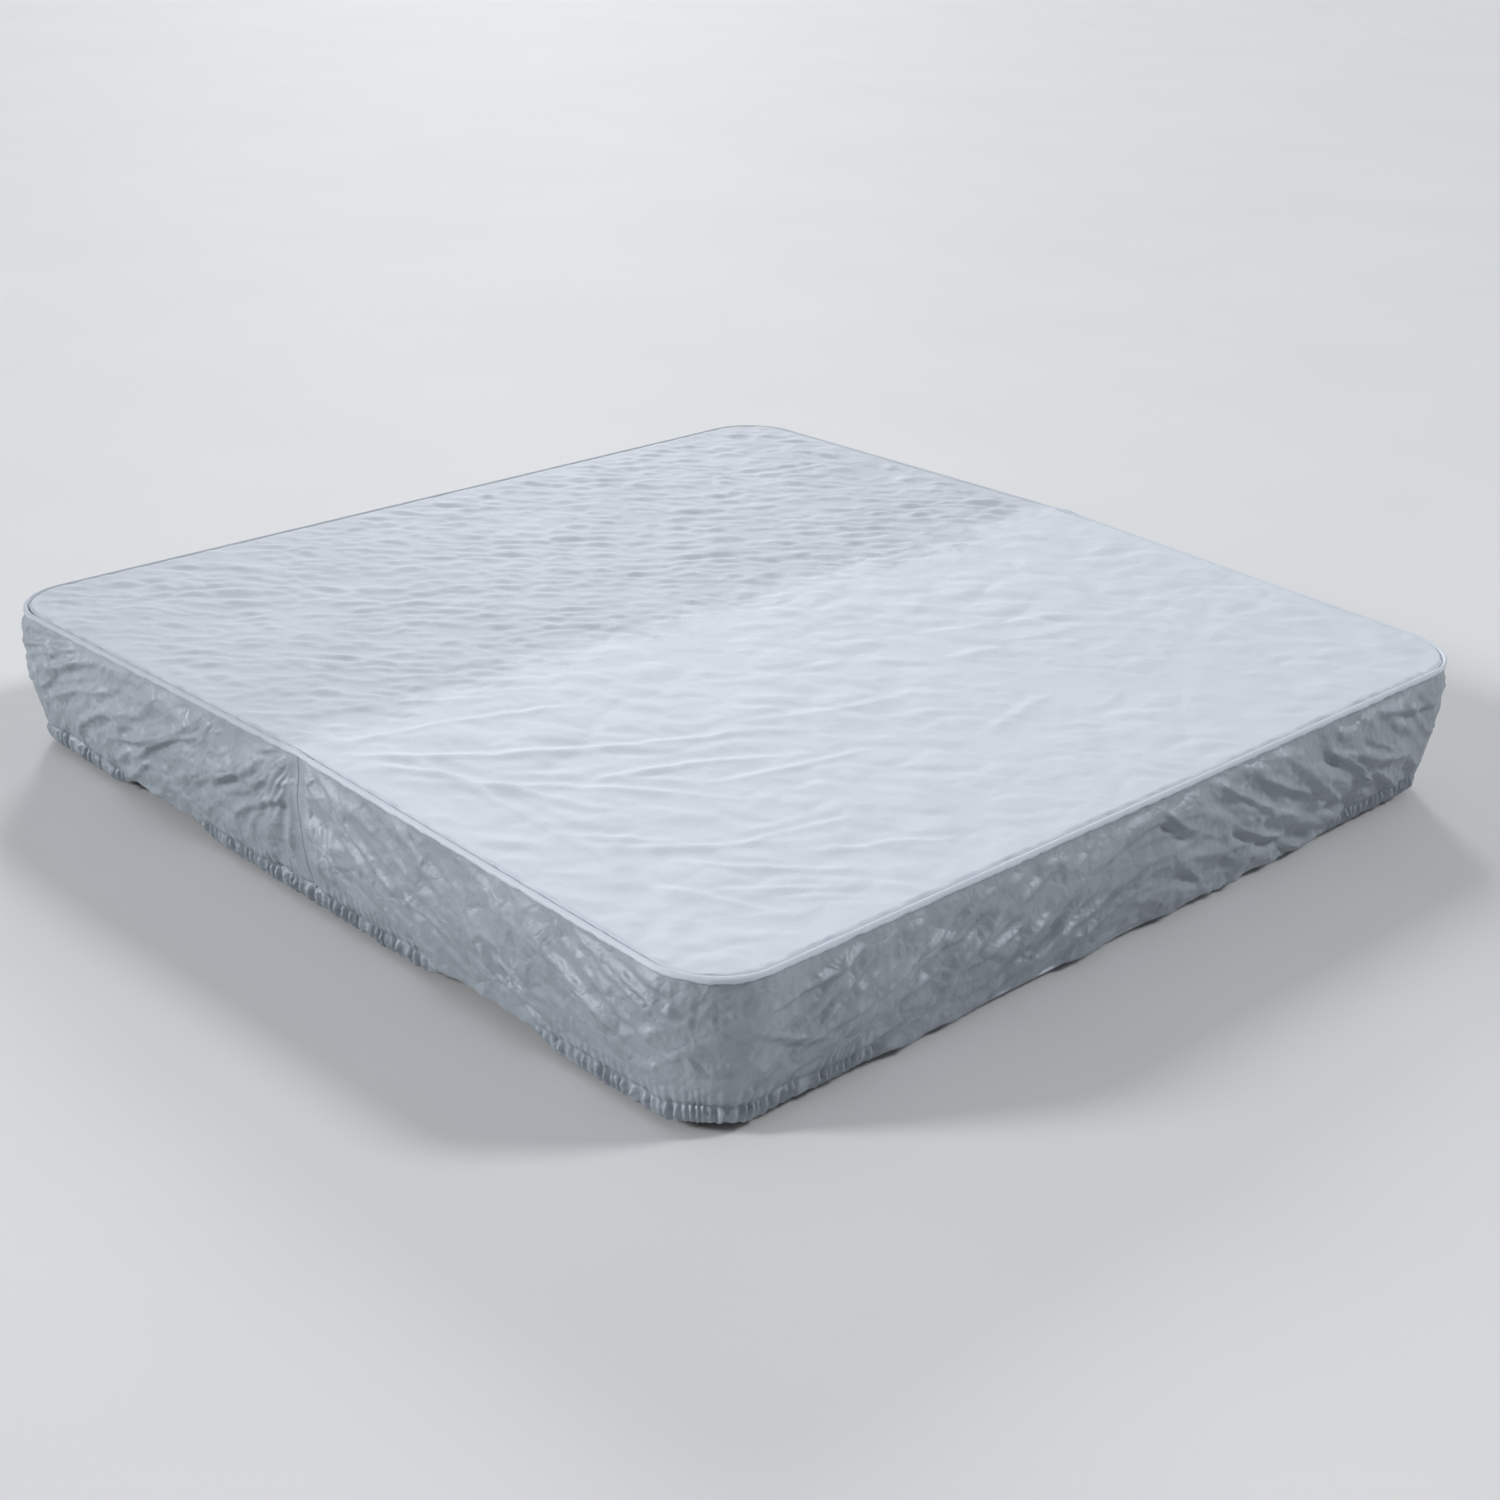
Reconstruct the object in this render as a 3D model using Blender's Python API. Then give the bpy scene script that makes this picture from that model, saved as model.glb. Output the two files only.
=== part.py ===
"""Folding spa cover: an insulated lid in two tapered halves, under a fitted silver cap.

The frame stands on the floor at z = 0 with +Z up. X runs along the fold, the rear half lies at +Y and
the front half at -Y. Everything is in metres. Each half is built once by the same functions, with
`side` = +1 for the rear and -1 for the front.
"""

import math

import bmesh
import bpy
from mathutils import Matrix, Vector

# ---- driving dimensions of the insulated lid ----
LID_WIDTH = 2.134            # along the fold, 84 in
LID_DEPTH = 2.108            # across the fold, 83 in
CORNER_RADIUS = 0.130
EDGE_THICKNESS = 0.078       # casing over a 3 in foam edge
FOLD_THICKNESS = 0.106       # casing over 4 in of foam at the fold
FOLD_GAP = 0.016             # between the two zip panels when the lid lies flat
FLAP_DROP = 0.160            # vinyl flap below the casing
FLAP_TUCK = 0.030            # how far the flap's lower edge hangs inwards
VINYL = 0.0012
FILM = 0.0005
FIT_GAP = 0.0004             # between pieces that are sewn or laid on each other

# ---- driving dimensions of the fitted cap ----
SKIRT_DROP = 0.300           # top seam to elastic hem, sold as 12 in
HEM_LIFT = 0.024             # the plain stretches are tucked up under the flap by this much
CAP_FABRIC = 0.0010
WEB_ROOM = 0.0008            # between the fold web and the cap's top
HANDLE_ROOM = 0.0018         # between a webbing handle and the cap's skirt
SKIRT_TUCK = 0.034           # the hem is drawn in by this much
PLAIN_LIP = 0.026            # hem turned in under the flap on the plain stretches
ELASTIC_LIP = 0.006
HEM_EASE = 0.060             # length over which the hem changes from plain to elastic
CORNER_ELASTIC_REACH = 0.250  # elastic runs this far past a corner's arc along each edge
FOLD_ELASTIC_REACH = 0.330   # and this far each way from the fold
ELASTIC_WIDTH = 0.025
ELASTIC_THICKNESS = 0.0018

# ---- fold stiffening, zips and seal ----
CHANNEL_STEEL = 0.0010
CHANNEL_FLANGE = 0.028
CHANNEL_END_MARGIN = 0.020
ZIP_END_MARGIN = 0.060
ZIP_CENTRE_BELOW_TOP = 0.030
ZIP_TAPE_HEIGHT = 0.026
ZIP_TAPE = 0.0010
CHAIN_HEIGHT = 0.006
CHAIN_PROUD = 0.0010
SLIDER_LENGTH = 0.016
SLIDER_HEIGHT = 0.011
SLIDER_PROUD = 0.0026        # thickness of the slider and its pull in front of the chain
PULL_LENGTH = 0.030
PULL_HEIGHT = 0.007
WEB_REACH = 0.045            # half width of the vinyl web over the fold
WEB_THICKNESS = 0.0018
SEAL_HEIGHT = 0.036
SEAL_ROOM = 0.0018           # between the seal and the other half's zip panel
SEAL_SLEEVE = 0.0010
SEAL_END_MARGIN = 0.030

# ---- handles, straps and buckles ----
HANDLE_FROM_FOLD = 0.480     # middle of each handle, from the fold
HANDLE_LENGTH = 0.200
HANDLE_WIDTH = 0.038
HANDLE_FOOT = 0.040
HANDLE_WEBBING = 0.0016
HANDLE_ARCH = 0.0022
STRAP_OFFSET_X = 0.700       # straps left and right of the middle
STRAP_INSET = 0.062          # from the lid's outer edge to the hanging strap
STRAP_WIDTH = 0.038
STRAP_WEBBING = 0.0016
STRAP_LENGTH = 0.085
BUCKLE_BAR = 0.0040
BUCKLE_LENGTH = 0.058
BUCKLE_SIDE_WALL = 0.0045
BUCKLE_THICKNESS = 0.008
BUCKLE_SLOT = 0.0100
PLUG_CROSSBAR = 0.004
PLUG_FILLET = 0.006
PRONG_WIDTH = 0.007
TONGUE_WIDTH = 0.005
SLOT_SIDE_ROOM = 0.0015
LOOP_CLEARANCE = 0.0014
STRAP_SWING_ROOM = 0.0008    # from the base's face to the line the strap swings about
STRAP_TAIL = 0.026

ARC_STEPS = 8

# ---- sizes that follow ----
HALF_WIDTH = LID_WIDTH / 2
HALF_DEPTH = LID_DEPTH / 2
INNER_Y = FOLD_GAP / 2                       # outer face of a zip panel
SEAL_PROUD = FOLD_GAP - FIT_GAP - SEAL_ROOM
CAP_TOP_CLEARANCE = FIT_GAP + WEB_THICKNESS + WEB_ROOM
CAP_SIDE_CLEARANCE = FIT_GAP + HANDLE_ARCH + HANDLE_WEBBING + HANDLE_ROOM
LID_TOP_EDGE = SKIRT_DROP - CAP_FABRIC - CAP_TOP_CLEARANCE
LID_BASE = LID_TOP_EDGE - EDGE_THICKNESS
TAPER_RISE = FOLD_THICKNESS - EDGE_THICKNESS
FOLD_AXIS_Z = SKIRT_DROP + TAPER_RISE
FLAP_HEM = LID_BASE - FLAP_DROP
SKIRT_SLOPE = SKIRT_TUCK / LID_BASE          # inwards for each metre down, below the casing
STRAP_AXIS_Z = LID_BASE - STRAP_SWING_ROOM
BUCKLE_AXIS_Z = STRAP_AXIS_Z - STRAP_LENGTH
BUCKLE_WIDTH = STRAP_WIDTH + 2 * (SLOT_SIDE_ROOM + BUCKLE_SIDE_WALL)

SILVER = (0.56, 0.60, 0.65)
VINYL_GREY = (0.20, 0.22, 0.25)
LINING = (0.62, 0.63, 0.62)
FOAM = (0.88, 0.89, 0.90)
FILM_CLEAR = (0.72, 0.76, 0.80)
STEEL = (0.55, 0.56, 0.57)
BLACK = (0.025, 0.025, 0.028)
RUBBER = (0.70, 0.70, 0.68)


def clear_scene():
    for obj in list(bpy.data.objects):
        bpy.data.objects.remove(obj, do_unlink=True)


def material(name, color, roughness, metallic=0.0):
    made = bpy.data.materials.get(name)
    if made is None:
        made = bpy.data.materials.new(name)
        made.use_nodes = True
        shader = made.node_tree.nodes["Principled BSDF"]
        shader.inputs["Base Color"].default_value = (*color, 1.0)
        shader.inputs["Roughness"].default_value = roughness
        shader.inputs["Metallic"].default_value = metallic
        made.diffuse_color = (*color, 1.0)
    return made


def axis_empty(name, place, parent=None):
    empty = bpy.data.objects.new(name, None)
    bpy.context.scene.collection.objects.link(empty)
    empty.location = place
    if parent is not None:
        empty.parent = parent
        empty.location = Vector(place) - world_place(parent)
    return empty


def world_place(obj):
    place = Vector(obj.location)
    while obj.parent is not None:
        obj = obj.parent
        place += obj.location
    return place


def loft(name, sections, finish, parent):
    """A closed solid through matching polygons, with its two ends capped."""
    mesh_builder = bmesh.new()
    rings = [[mesh_builder.verts.new(point) for point in section] for section in sections]
    for ring, following in zip(rings, rings[1:]):
        for index in range(len(ring)):
            after = (index + 1) % len(ring)
            mesh_builder.faces.new((ring[index], ring[after], following[after], following[index]))
    mesh_builder.faces.new(rings[0])
    mesh_builder.faces.new(rings[-1])
    bmesh.ops.recalc_face_normals(mesh_builder, faces=mesh_builder.faces)
    mesh = bpy.data.meshes.new(name)
    origin = world_place(parent)
    mesh_builder.to_mesh(mesh)
    mesh_builder.free()
    mesh.transform(Matrix.Translation(-origin))
    obj = bpy.data.objects.new(name, mesh)
    bpy.context.scene.collection.objects.link(obj)
    obj.parent = parent
    mesh.materials.append(finish)
    mesh.shade_smooth()
    mesh.set_sharp_from_angle(angle=math.radians(30))
    return obj


def box(name, low, high, finish, parent):
    (x0, y0, z0), (x1, y1, z1) = low, high
    lower = [(x0, y0, z0), (x1, y0, z0), (x1, y1, z0), (x0, y1, z0)]
    upper = [(x, y, z1) for x, y, _ in lower]
    return loft(name, [lower, upper], finish, parent)


def cut_out(obj, cutter):
    """Cuts `cutter` out of `obj`. The cutter stays in the scene but isn't a piece."""
    cutter.hide_render = True
    cutter.display_type = "WIRE"
    modifier = obj.modifiers.new(cutter.name, "BOOLEAN")
    modifier.object = cutter
    modifier.operation = "DIFFERENCE"
    modifier.solver = "EXACT"


# ---- outlines ----
def arc_with_normals(centre, radius, start, end):
    """(point, outward normal) along an arc given in degrees."""
    run = []
    for step in range(ARC_STEPS + 1):
        angle = math.radians(start + (end - start) * step / ARC_STEPS)
        normal = (math.cos(angle), math.sin(angle))
        run.append(((centre[0] + radius * normal[0], centre[1] + radius * normal[1]), normal))
    return run


def edge_run(offset, inner):
    """(point, outward normal) along the rear half's outer edge, from the fold's right end to its left."""
    arc_x, arc_y = HALF_WIDTH - CORNER_RADIUS, HALF_DEPTH - CORNER_RADIUS
    radius = CORNER_RADIUS + offset
    wide = HALF_WIDTH + offset
    right = arc_with_normals((arc_x, arc_y), radius, 0, 90)
    left = arc_with_normals((-arc_x, arc_y), radius, 90, 180)
    return [((wide, inner), (1.0, 0.0)), *right, *left, ((-wide, inner), (-1.0, 0.0))]


def top_of_lid(y):
    """Height of the casing's upper face, which falls from the fold to the outer edge."""
    return LID_TOP_EDGE + TAPER_RISE * (1 - abs(y) / HALF_DEPTH)


def top_of_cap(y):
    return SKIRT_DROP + TAPER_RISE * (1 - y / HALF_DEPTH)


def slab(name, side, inset, inner, low, high, finish, parent):
    """A half's outline between two heights, each a function of y."""
    outline = [point for point, _ in edge_run(-inset, inner)]
    lower = [(x, side * y, low(y)) for x, y in outline]
    upper = [(x, side * y, high(y)) for x, y in outline]
    return loft(name, [lower, upper], finish, parent)


# ---- insulated lid ----
def foam_core(half, side, finish, parent):
    """Tapered slab, rebated at the fold for the channel's flanges. Lofted along X."""
    inset = VINYL + FIT_GAP + FILM + FIT_GAP
    start = INNER_Y + inset + CHANNEL_STEEL + FIT_GAP
    shoulder = start + CHANNEL_FLANGE
    bottom = LID_BASE + inset
    rebate = CHANNEL_STEEL + FIT_GAP
    width, depth = HALF_WIDTH - inset, HALF_DEPTH - inset
    radius = CORNER_RADIUS - inset
    angles = [math.radians(90 * step / ARC_STEPS) for step in range(ARC_STEPS + 1)]
    arc_x, arc_y = width - radius, depth - radius
    right = [(arc_x + radius * math.sin(a), arc_y + radius * math.cos(a)) for a in angles]
    stations = [(-x, y) for x, y in reversed(right)] + right
    sections = []
    for x, end in stations:
        profile = [
            (start, bottom + rebate),
            (start, top_of_lid(start) - inset - rebate),
            (shoulder, top_of_lid(shoulder) - inset - rebate),
            (shoulder, top_of_lid(shoulder) - inset),
            (end, top_of_lid(end) - inset),
            (end, bottom),
            (shoulder, bottom),
            (shoulder, bottom + rebate),
        ]
        sections.append([(x, side * y, z) for y, z in profile])
    return loft(f"{half}_foam_core", sections, finish, parent)


def vapour_wrap(half, side, finish, parent):
    """Heat-sealed film pocket around the core, open at the fold where the channel is slid in."""
    outer, inner = VINYL + FIT_GAP, VINYL + FIT_GAP + FILM
    start = INNER_Y + VINYL + FIT_GAP
    wrap = slab(
        f"{half}_vapour_wrap", side, outer, start,
        lambda y: LID_BASE + outer, lambda y: top_of_lid(y) - outer, finish, parent,
    )
    hollow = slab(
        f"{half}_vapour_wrap_hollow", side, inner, INNER_Y,
        lambda y: LID_BASE + inner, lambda y: top_of_lid(y) - inner, finish, parent,
    )
    cut_out(wrap, hollow)
    return wrap


def steel_channel(half, side, finish, parent):
    """C-channel that keeps the fold edge straight. Its web stands against the zip panel."""
    inset = VINYL + FIT_GAP + FILM + FIT_GAP
    web = INNER_Y + inset
    tip = web + CHANNEL_FLANGE
    low, high = LID_BASE + inset, top_of_lid(web) - inset
    high_tip = top_of_lid(tip) - inset
    steel = CHANNEL_STEEL
    profile = [
        (web, low), (tip, low), (tip, low + steel), (web + steel, low + steel),
        (web + steel, high - steel), (tip, high_tip - steel), (tip, high_tip), (web, high),
    ]
    reach = HALF_WIDTH - CHANNEL_END_MARGIN
    sections = [[(x, side * y, z) for y, z in profile] for x in (-reach, reach)]
    return loft(f"{half}_steel_channel", sections, finish, parent)


def casing(half, side, finishes, parent):
    """Top sheet, boxing round the outer edges, lined base and the zip panel at the fold."""
    slab(
        f"{half}_casing_top", side, 0.0, INNER_Y,
        lambda y: top_of_lid(y) - VINYL, top_of_lid, finishes["vinyl"], parent,
    )
    slab(
        f"{half}_casing_base", side, 0.0, INNER_Y,
        lambda y: LID_BASE, lambda y: LID_BASE + VINYL, finishes["lining"], parent,
    )
    inner = INNER_Y + VINYL + FIT_GAP
    sections = []
    for (x, y), (nx, ny) in edge_run(0.0, inner):
        back = (x - nx * VINYL, y - ny * VINYL)
        low = LID_BASE + VINYL + FIT_GAP
        sections.append([
            (x, side * y, low),
            (x, side * y, top_of_lid(y) - VINYL - FIT_GAP),
            (back[0], side * back[1], top_of_lid(back[1]) - VINYL - FIT_GAP),
            (back[0], side * back[1], low),
        ])
    loft(f"{half}_casing_boxing", sections, finishes["vinyl"], parent)
    zip_panel_low = LID_BASE + VINYL + FIT_GAP
    zip_panel_high = top_of_lid(inner) - VINYL - FIT_GAP
    near, far = sorted((side * INNER_Y, side * (INNER_Y + VINYL)))
    box(
        f"{half}_zip_panel", (-HALF_WIDTH, near, zip_panel_low), (HALF_WIDTH, far, zip_panel_high),
        finishes["vinyl"], parent,
    )


def skirt_flap(half, side, finish, parent):
    """Vinyl flap sewn to the casing's lower edge, split at the fold and drawn in below."""
    sections = []
    top, hem = LID_BASE - FIT_GAP, FLAP_HEM
    for (x, y), (nx, ny) in edge_run(0.0, INNER_Y):
        offsets = ((0.0, top), (-FLAP_TUCK, hem), (-FLAP_TUCK - VINYL, hem), (-VINYL, top))
        sections.append([(x + nx * out, side * (y + ny * out), z) for out, z in offsets])
    return loft(f"{half}_skirt_flap", sections, finish, parent)


def fold_web(half, side, finish, parent):
    """Half of the vinyl web that joins the two casings over the fold."""
    start, end = FIT_GAP, WEB_REACH
    profile = [
        (start, top_of_lid(start) + FIT_GAP), (end, top_of_lid(end) + FIT_GAP),
        (end, top_of_lid(end) + FIT_GAP + WEB_THICKNESS),
        (start, top_of_lid(start) + FIT_GAP + WEB_THICKNESS),
    ]
    sections = [[(x, side * y, z) for y, z in profile] for x in (-HALF_WIDTH, HALF_WIDTH)]
    return loft(f"{half}_fold_web", sections, finish, parent)


def zipper(half, side, finishes, parent):
    """Zip tape with its chain on the zip panel, and the slider that runs along it."""
    reach = HALF_WIDTH - ZIP_END_MARGIN
    middle = top_of_lid(0) - ZIP_CENTRE_BELOW_TOP
    face = INNER_Y - FIT_GAP
    tape, chain = face - ZIP_TAPE, face - ZIP_TAPE - CHAIN_PROUD
    high, low = middle + ZIP_TAPE_HEIGHT / 2, middle - ZIP_TAPE_HEIGHT / 2
    chain_low, chain_high = middle - CHAIN_HEIGHT / 2, middle + CHAIN_HEIGHT / 2
    profile = [
        (face, low), (tape, low), (tape, chain_low), (chain, chain_low),
        (chain, chain_high), (tape, chain_high), (tape, high), (face, high),
    ]
    sections = [[(x, side * y, z) for y, z in profile] for x in (-reach, reach)]
    loft(f"{half}_zipper", sections, finishes["zip"], parent)

    body_end = reach - SLIDER_LENGTH
    pull_end = body_end - PULL_LENGTH
    rail = axis_empty(f"{half}_slider_start", (body_end, side * chain, middle), parent)
    back, front = chain - FIT_GAP, chain - FIT_GAP - SLIDER_PROUD
    plan = [
        (reach, -SLIDER_HEIGHT / 2), (reach, SLIDER_HEIGHT / 2),
        (body_end, SLIDER_HEIGHT / 2), (body_end, PULL_HEIGHT / 2),
        (pull_end, PULL_HEIGHT / 2), (pull_end, -PULL_HEIGHT / 2),
        (body_end, -PULL_HEIGHT / 2), (body_end, -SLIDER_HEIGHT / 2),
    ]
    sections = [[(x, side * y, middle + z) for x, z in plan] for y in (back, front)]
    loft(f"{half}_zipper_slider", sections, finishes["slider"], rail)


def heat_seal(finishes, parent):
    """Foam strip in a vinyl sleeve that closes the fold gap. It is sewn to the rear half."""
    low = LID_BASE + FIT_GAP
    high = low + SEAL_HEIGHT
    back = INNER_Y - FIT_GAP
    front = back - SEAL_PROUD
    sleeve = SEAL_SLEEVE
    sleeve_profile = [
        (back, low), (front, low), (front, high), (back, high), (back, high - sleeve),
        (front + sleeve, high - sleeve), (front + sleeve, low + sleeve), (back, low + sleeve),
    ]
    inside = sleeve + FIT_GAP
    core_low, core_high = low + inside, high - inside
    core_profile = [
        (back, core_low), (front + inside, core_low), (front + inside, core_high), (back, core_high),
    ]
    for name, profile, finish in (
        ("fold_seal_sleeve", sleeve_profile, finishes["vinyl"]),
        ("fold_seal_core", core_profile, finishes["foam"]),
    ):
        reach = HALF_WIDTH - SEAL_END_MARGIN
        sections = [[(x, y, z) for y, z in profile] for x in (-reach, reach)]
        loft(name, sections, finish, parent)


# ---- handles, straps and buckles ----
def handle(half, side, hand, sign, finish, parent):
    """Flat webbing handle, stitched at both feet to the boxing and arched between them."""
    height = (LID_BASE + top_of_lid(HANDLE_FROM_FOLD)) / 2
    face = HALF_WIDTH + FIT_GAP
    start = HANDLE_FROM_FOLD - HANDLE_LENGTH / 2
    end = HANDLE_FROM_FOLD + HANDLE_LENGTH / 2
    line = [
        (start, 0.0), (start + HANDLE_FOOT, 0.0), (start + 1.4 * HANDLE_FOOT, HANDLE_ARCH),
        (end - 1.4 * HANDLE_FOOT, HANDLE_ARCH), (end - HANDLE_FOOT, 0.0), (end, 0.0),
    ]
    low, high = height - HANDLE_WIDTH / 2, height + HANDLE_WIDTH / 2
    sections = []
    for along, lift in line:
        near, far = sign * (face + lift), sign * (face + lift + HANDLE_WEBBING)
        y = side * along
        sections.append([(near, y, low), (far, y, low), (far, y, high), (near, y, high)])
    return loft(f"{half}_{hand}_handle", sections, finish, parent)


def strap_profile():
    """(out, z) points of a strap with a loop round the buckle's bar, in its hanging plane."""
    inner = BUCKLE_BAR / 2 + LOOP_CLEARANCE
    outer = inner + STRAP_WEBBING
    turn = [math.radians(angle) for angle in range(0, -181, -30)]
    outside = [(outer * math.cos(a), outer * math.sin(a)) for a in turn]
    inside = [(inner * math.cos(a), inner * math.sin(a)) for a in reversed(turn)]
    top = STRAP_LENGTH - FIT_GAP
    ends = [(inner, top), (outer, top)], [(-outer, STRAP_TAIL), (-inner, STRAP_TAIL)]
    return ends[0] + outside + ends[1] + inside


def strap_and_buckle(half, side, hand, sign, finishes, parent):
    """Tie-down strap that swings from the base's edge, with a side-release plug on its loop."""
    x = sign * STRAP_OFFSET_X
    y = side * (HALF_DEPTH - STRAP_INSET)
    sewn = axis_empty(f"{half}_{hand}_strap_axis", (x, y, STRAP_AXIS_Z), parent)
    bar = axis_empty(f"{half}_{hand}_buckle_axis", (x, y, BUCKLE_AXIS_Z), sewn)
    profile = strap_profile()
    sections = [
        [(x + across, y + side * out, BUCKLE_AXIS_Z + z) for out, z in profile]
        for across in (-STRAP_WIDTH / 2, STRAP_WIDTH / 2)
    ]
    loft(f"{half}_{hand}_strap", sections, finishes["webbing"], sewn)
    buckle_plug(f"{half}_{hand}_buckle", (x, y, BUCKLE_AXIS_Z), finishes["buckle"], bar)


def buckle_plug(name, centre, finish, parent):
    """Three-pronged plug of a side-release buckle, with the bar that the strap loops round."""
    x, y, z = centre
    bar = BUCKLE_BAR / 2
    edge = BUCKLE_WIDTH / 2
    shoulder = -BUCKLE_SLOT - PLUG_CROSSBAR
    root = shoulder - PLUG_FILLET
    tip = bar - BUCKLE_LENGTH
    right = [
        (edge, bar), (edge, shoulder), (edge - 0.002, tip + 0.018), (edge + 0.001, tip + 0.014),
        (edge - 0.006, tip), (edge - 0.010, tip + 0.004), (edge - 0.002 - PRONG_WIDTH, root),
        (TONGUE_WIDTH / 2 + 0.001, root), (TONGUE_WIDTH / 2, tip + 0.006),
    ]
    outline = right + [(-px, pz) for px, pz in reversed(right)]
    thick = BUCKLE_THICKNESS / 2
    sections = [[(x + px, y + out, z + pz) for px, pz in outline] for out in (-thick, thick)]
    plug = loft(name, sections, finish, parent)
    # The bar is thinner than the plug, so the webbing's loop has room on both faces of it.
    left, right_end = x - STRAP_WIDTH / 2 - SLOT_SIDE_ROOM, x + STRAP_WIDTH / 2 + SLOT_SIDE_ROOM
    cuts = (
        ("slot", -2 * thick, 2 * thick, -BUCKLE_SLOT, -bar),
        ("front_relief", bar, 2 * thick, -2 * bar, 2 * bar),
        ("back_relief", -2 * thick, -bar, -2 * bar, 2 * bar),
    )
    for label, near, far, low, high in cuts:
        corners = (left, y + near, z + low), (right_end, y + far, z + high)
        cut_out(plug, box(f"{name}_{label}", *corners, finish, parent))


# ---- fitted cap ----
def hem_share(distance, reach):
    """1 on the elastic, 0 on the plain hem, easing over HEM_EASE past `reach`."""
    return min(1.0, max(0.0, 1 - (distance - reach) / HEM_EASE))


def elastic_share(x, y):
    """How much of the hem at this place is elastic: round the corners and beside the fold."""
    from_corner = max(HALF_WIDTH - CORNER_RADIUS - abs(x), 0) + max(HALF_DEPTH - CORNER_RADIUS - y, 0)
    corner = hem_share(from_corner, CORNER_ELASTIC_REACH)
    on_side = abs(x) > HALF_WIDTH - CORNER_RADIUS
    fold = hem_share(y, FOLD_ELASTIC_REACH) if on_side else 0.0
    return max(corner, fold)


def skirt_section(side, place, normal):
    """The skirt's cut at one place: straight down the casing, drawn in below, hem turned in."""
    (x, y), (nx, ny) = place, normal
    share = elastic_share(x, y)
    top = top_of_cap(y) - CAP_FABRIC - FIT_GAP
    knee = LID_BASE
    hem = HEM_LIFT * (1 - share)
    drawn_in = SKIRT_SLOPE * (knee - hem)
    lip = PLAIN_LIP + (ELASTIC_LIP - PLAIN_LIP) * share
    cloth = CAP_FABRIC
    inside = drawn_in - SKIRT_SLOPE * cloth
    profile = [
        (cloth, top), (cloth, knee), (cloth - drawn_in, hem), (-drawn_in - lip, hem),
        (-drawn_in - lip, hem + cloth), (-inside, hem + cloth), (0.0, knee), (0.0, top),
    ]
    return [(x + nx * out, side * (y + ny * out), z) for out, z in profile]


def skirt_panels(half, side, finish, parent):
    """Back, sides and corners of one half's skirt, as separate panels that meet face to face."""
    line = CAP_SIDE_CLEARANCE
    arc_x, arc_y = HALF_WIDTH - CORNER_RADIUS, HALF_DEPTH - CORNER_RADIUS
    wide, deep = HALF_WIDTH + line, HALF_DEPTH + line
    gap = FIT_GAP
    past_corner = (CORNER_ELASTIC_REACH, CORNER_ELASTIC_REACH + HEM_EASE)
    right = [arc_x - gap] + [arc_x - past for past in past_corner]
    back = right + [-x for x in reversed(right)]
    along = [gap, FOLD_ELASTIC_REACH, FOLD_ELASTIC_REACH + HEM_EASE]
    along += [arc_y - past for past in reversed(past_corner)] + [arc_y - gap]
    runs = {"cap_skirt": [((x, deep), (0.0, 1.0)) for x in back]}
    for hand, sign in (("left", -1), ("right", 1)):
        runs[f"cap_side_{hand}"] = [((sign * wide, y), (sign, 0.0)) for y in along]
        centre = (sign * arc_x, arc_y)
        radius = CORNER_RADIUS + line
        start = 0 if sign > 0 else 90
        runs[f"cap_corner_{hand}"] = arc_with_normals(centre, radius, start, start + 90)
    for name, run in runs.items():
        loft(f"{half}_{name}", [skirt_section(side, p, n) for p, n in run], finish, parent)


def elastic_strip(name, side, run, finish, parent):
    """Flat elastic inside the hem, just inwards of the skirt, standing on the turned-in lip."""
    low = CAP_FABRIC + FIT_GAP
    foot = -SKIRT_TUCK - FIT_GAP
    head = foot + SKIRT_SLOPE * ELASTIC_WIDTH
    sections = []
    for (x, y), (nx, ny) in run:
        profile = [
            (foot, low), (head, low + ELASTIC_WIDTH),
            (head - ELASTIC_THICKNESS, low + ELASTIC_WIDTH), (foot - ELASTIC_THICKNESS, low),
        ]
        sections.append([(x + nx * out, side * (y + ny * out), z) for out, z in profile])
    return loft(name, sections, finish, parent)


def elastics(half, side, finish, parent):
    """Elastic round each outer corner, and beside the fold on each side."""
    line = CAP_SIDE_CLEARANCE
    arc_x, arc_y = HALF_WIDTH - CORNER_RADIUS, HALF_DEPTH - CORNER_RADIUS
    wide, deep = HALF_WIDTH + line, HALF_DEPTH + line
    radius = CORNER_RADIUS + line
    for hand, sign in (("left", -1), ("right", 1)):
        centre = (sign * arc_x, arc_y)
        start = 0 if sign > 0 else 180
        corner = [((sign * wide, arc_y - CORNER_ELASTIC_REACH), (sign, 0.0))]
        corner += arc_with_normals(centre, radius, start, 90)
        corner.append(((sign * (arc_x - CORNER_ELASTIC_REACH), deep), (0.0, 1.0)))
        elastic_strip(f"{half}_corner_elastic_{hand}", side, corner, finish, parent)
        fold = [((sign * wide, y), (sign, 0.0)) for y in (FIT_GAP, FOLD_ELASTIC_REACH)]
        elastic_strip(f"{half}_fold_elastic_{hand}", side, fold, finish, parent)


def cap_top(half, side, finish, parent):
    """The cap's top panel over one half, from the fold line to the perimeter seam."""
    slab(
        f"{half}_cap_top", side, -CAP_SIDE_CLEARANCE - CAP_FABRIC, FIT_GAP,
        lambda y: top_of_cap(y) - CAP_FABRIC, top_of_cap, finish, parent,
    )


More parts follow.
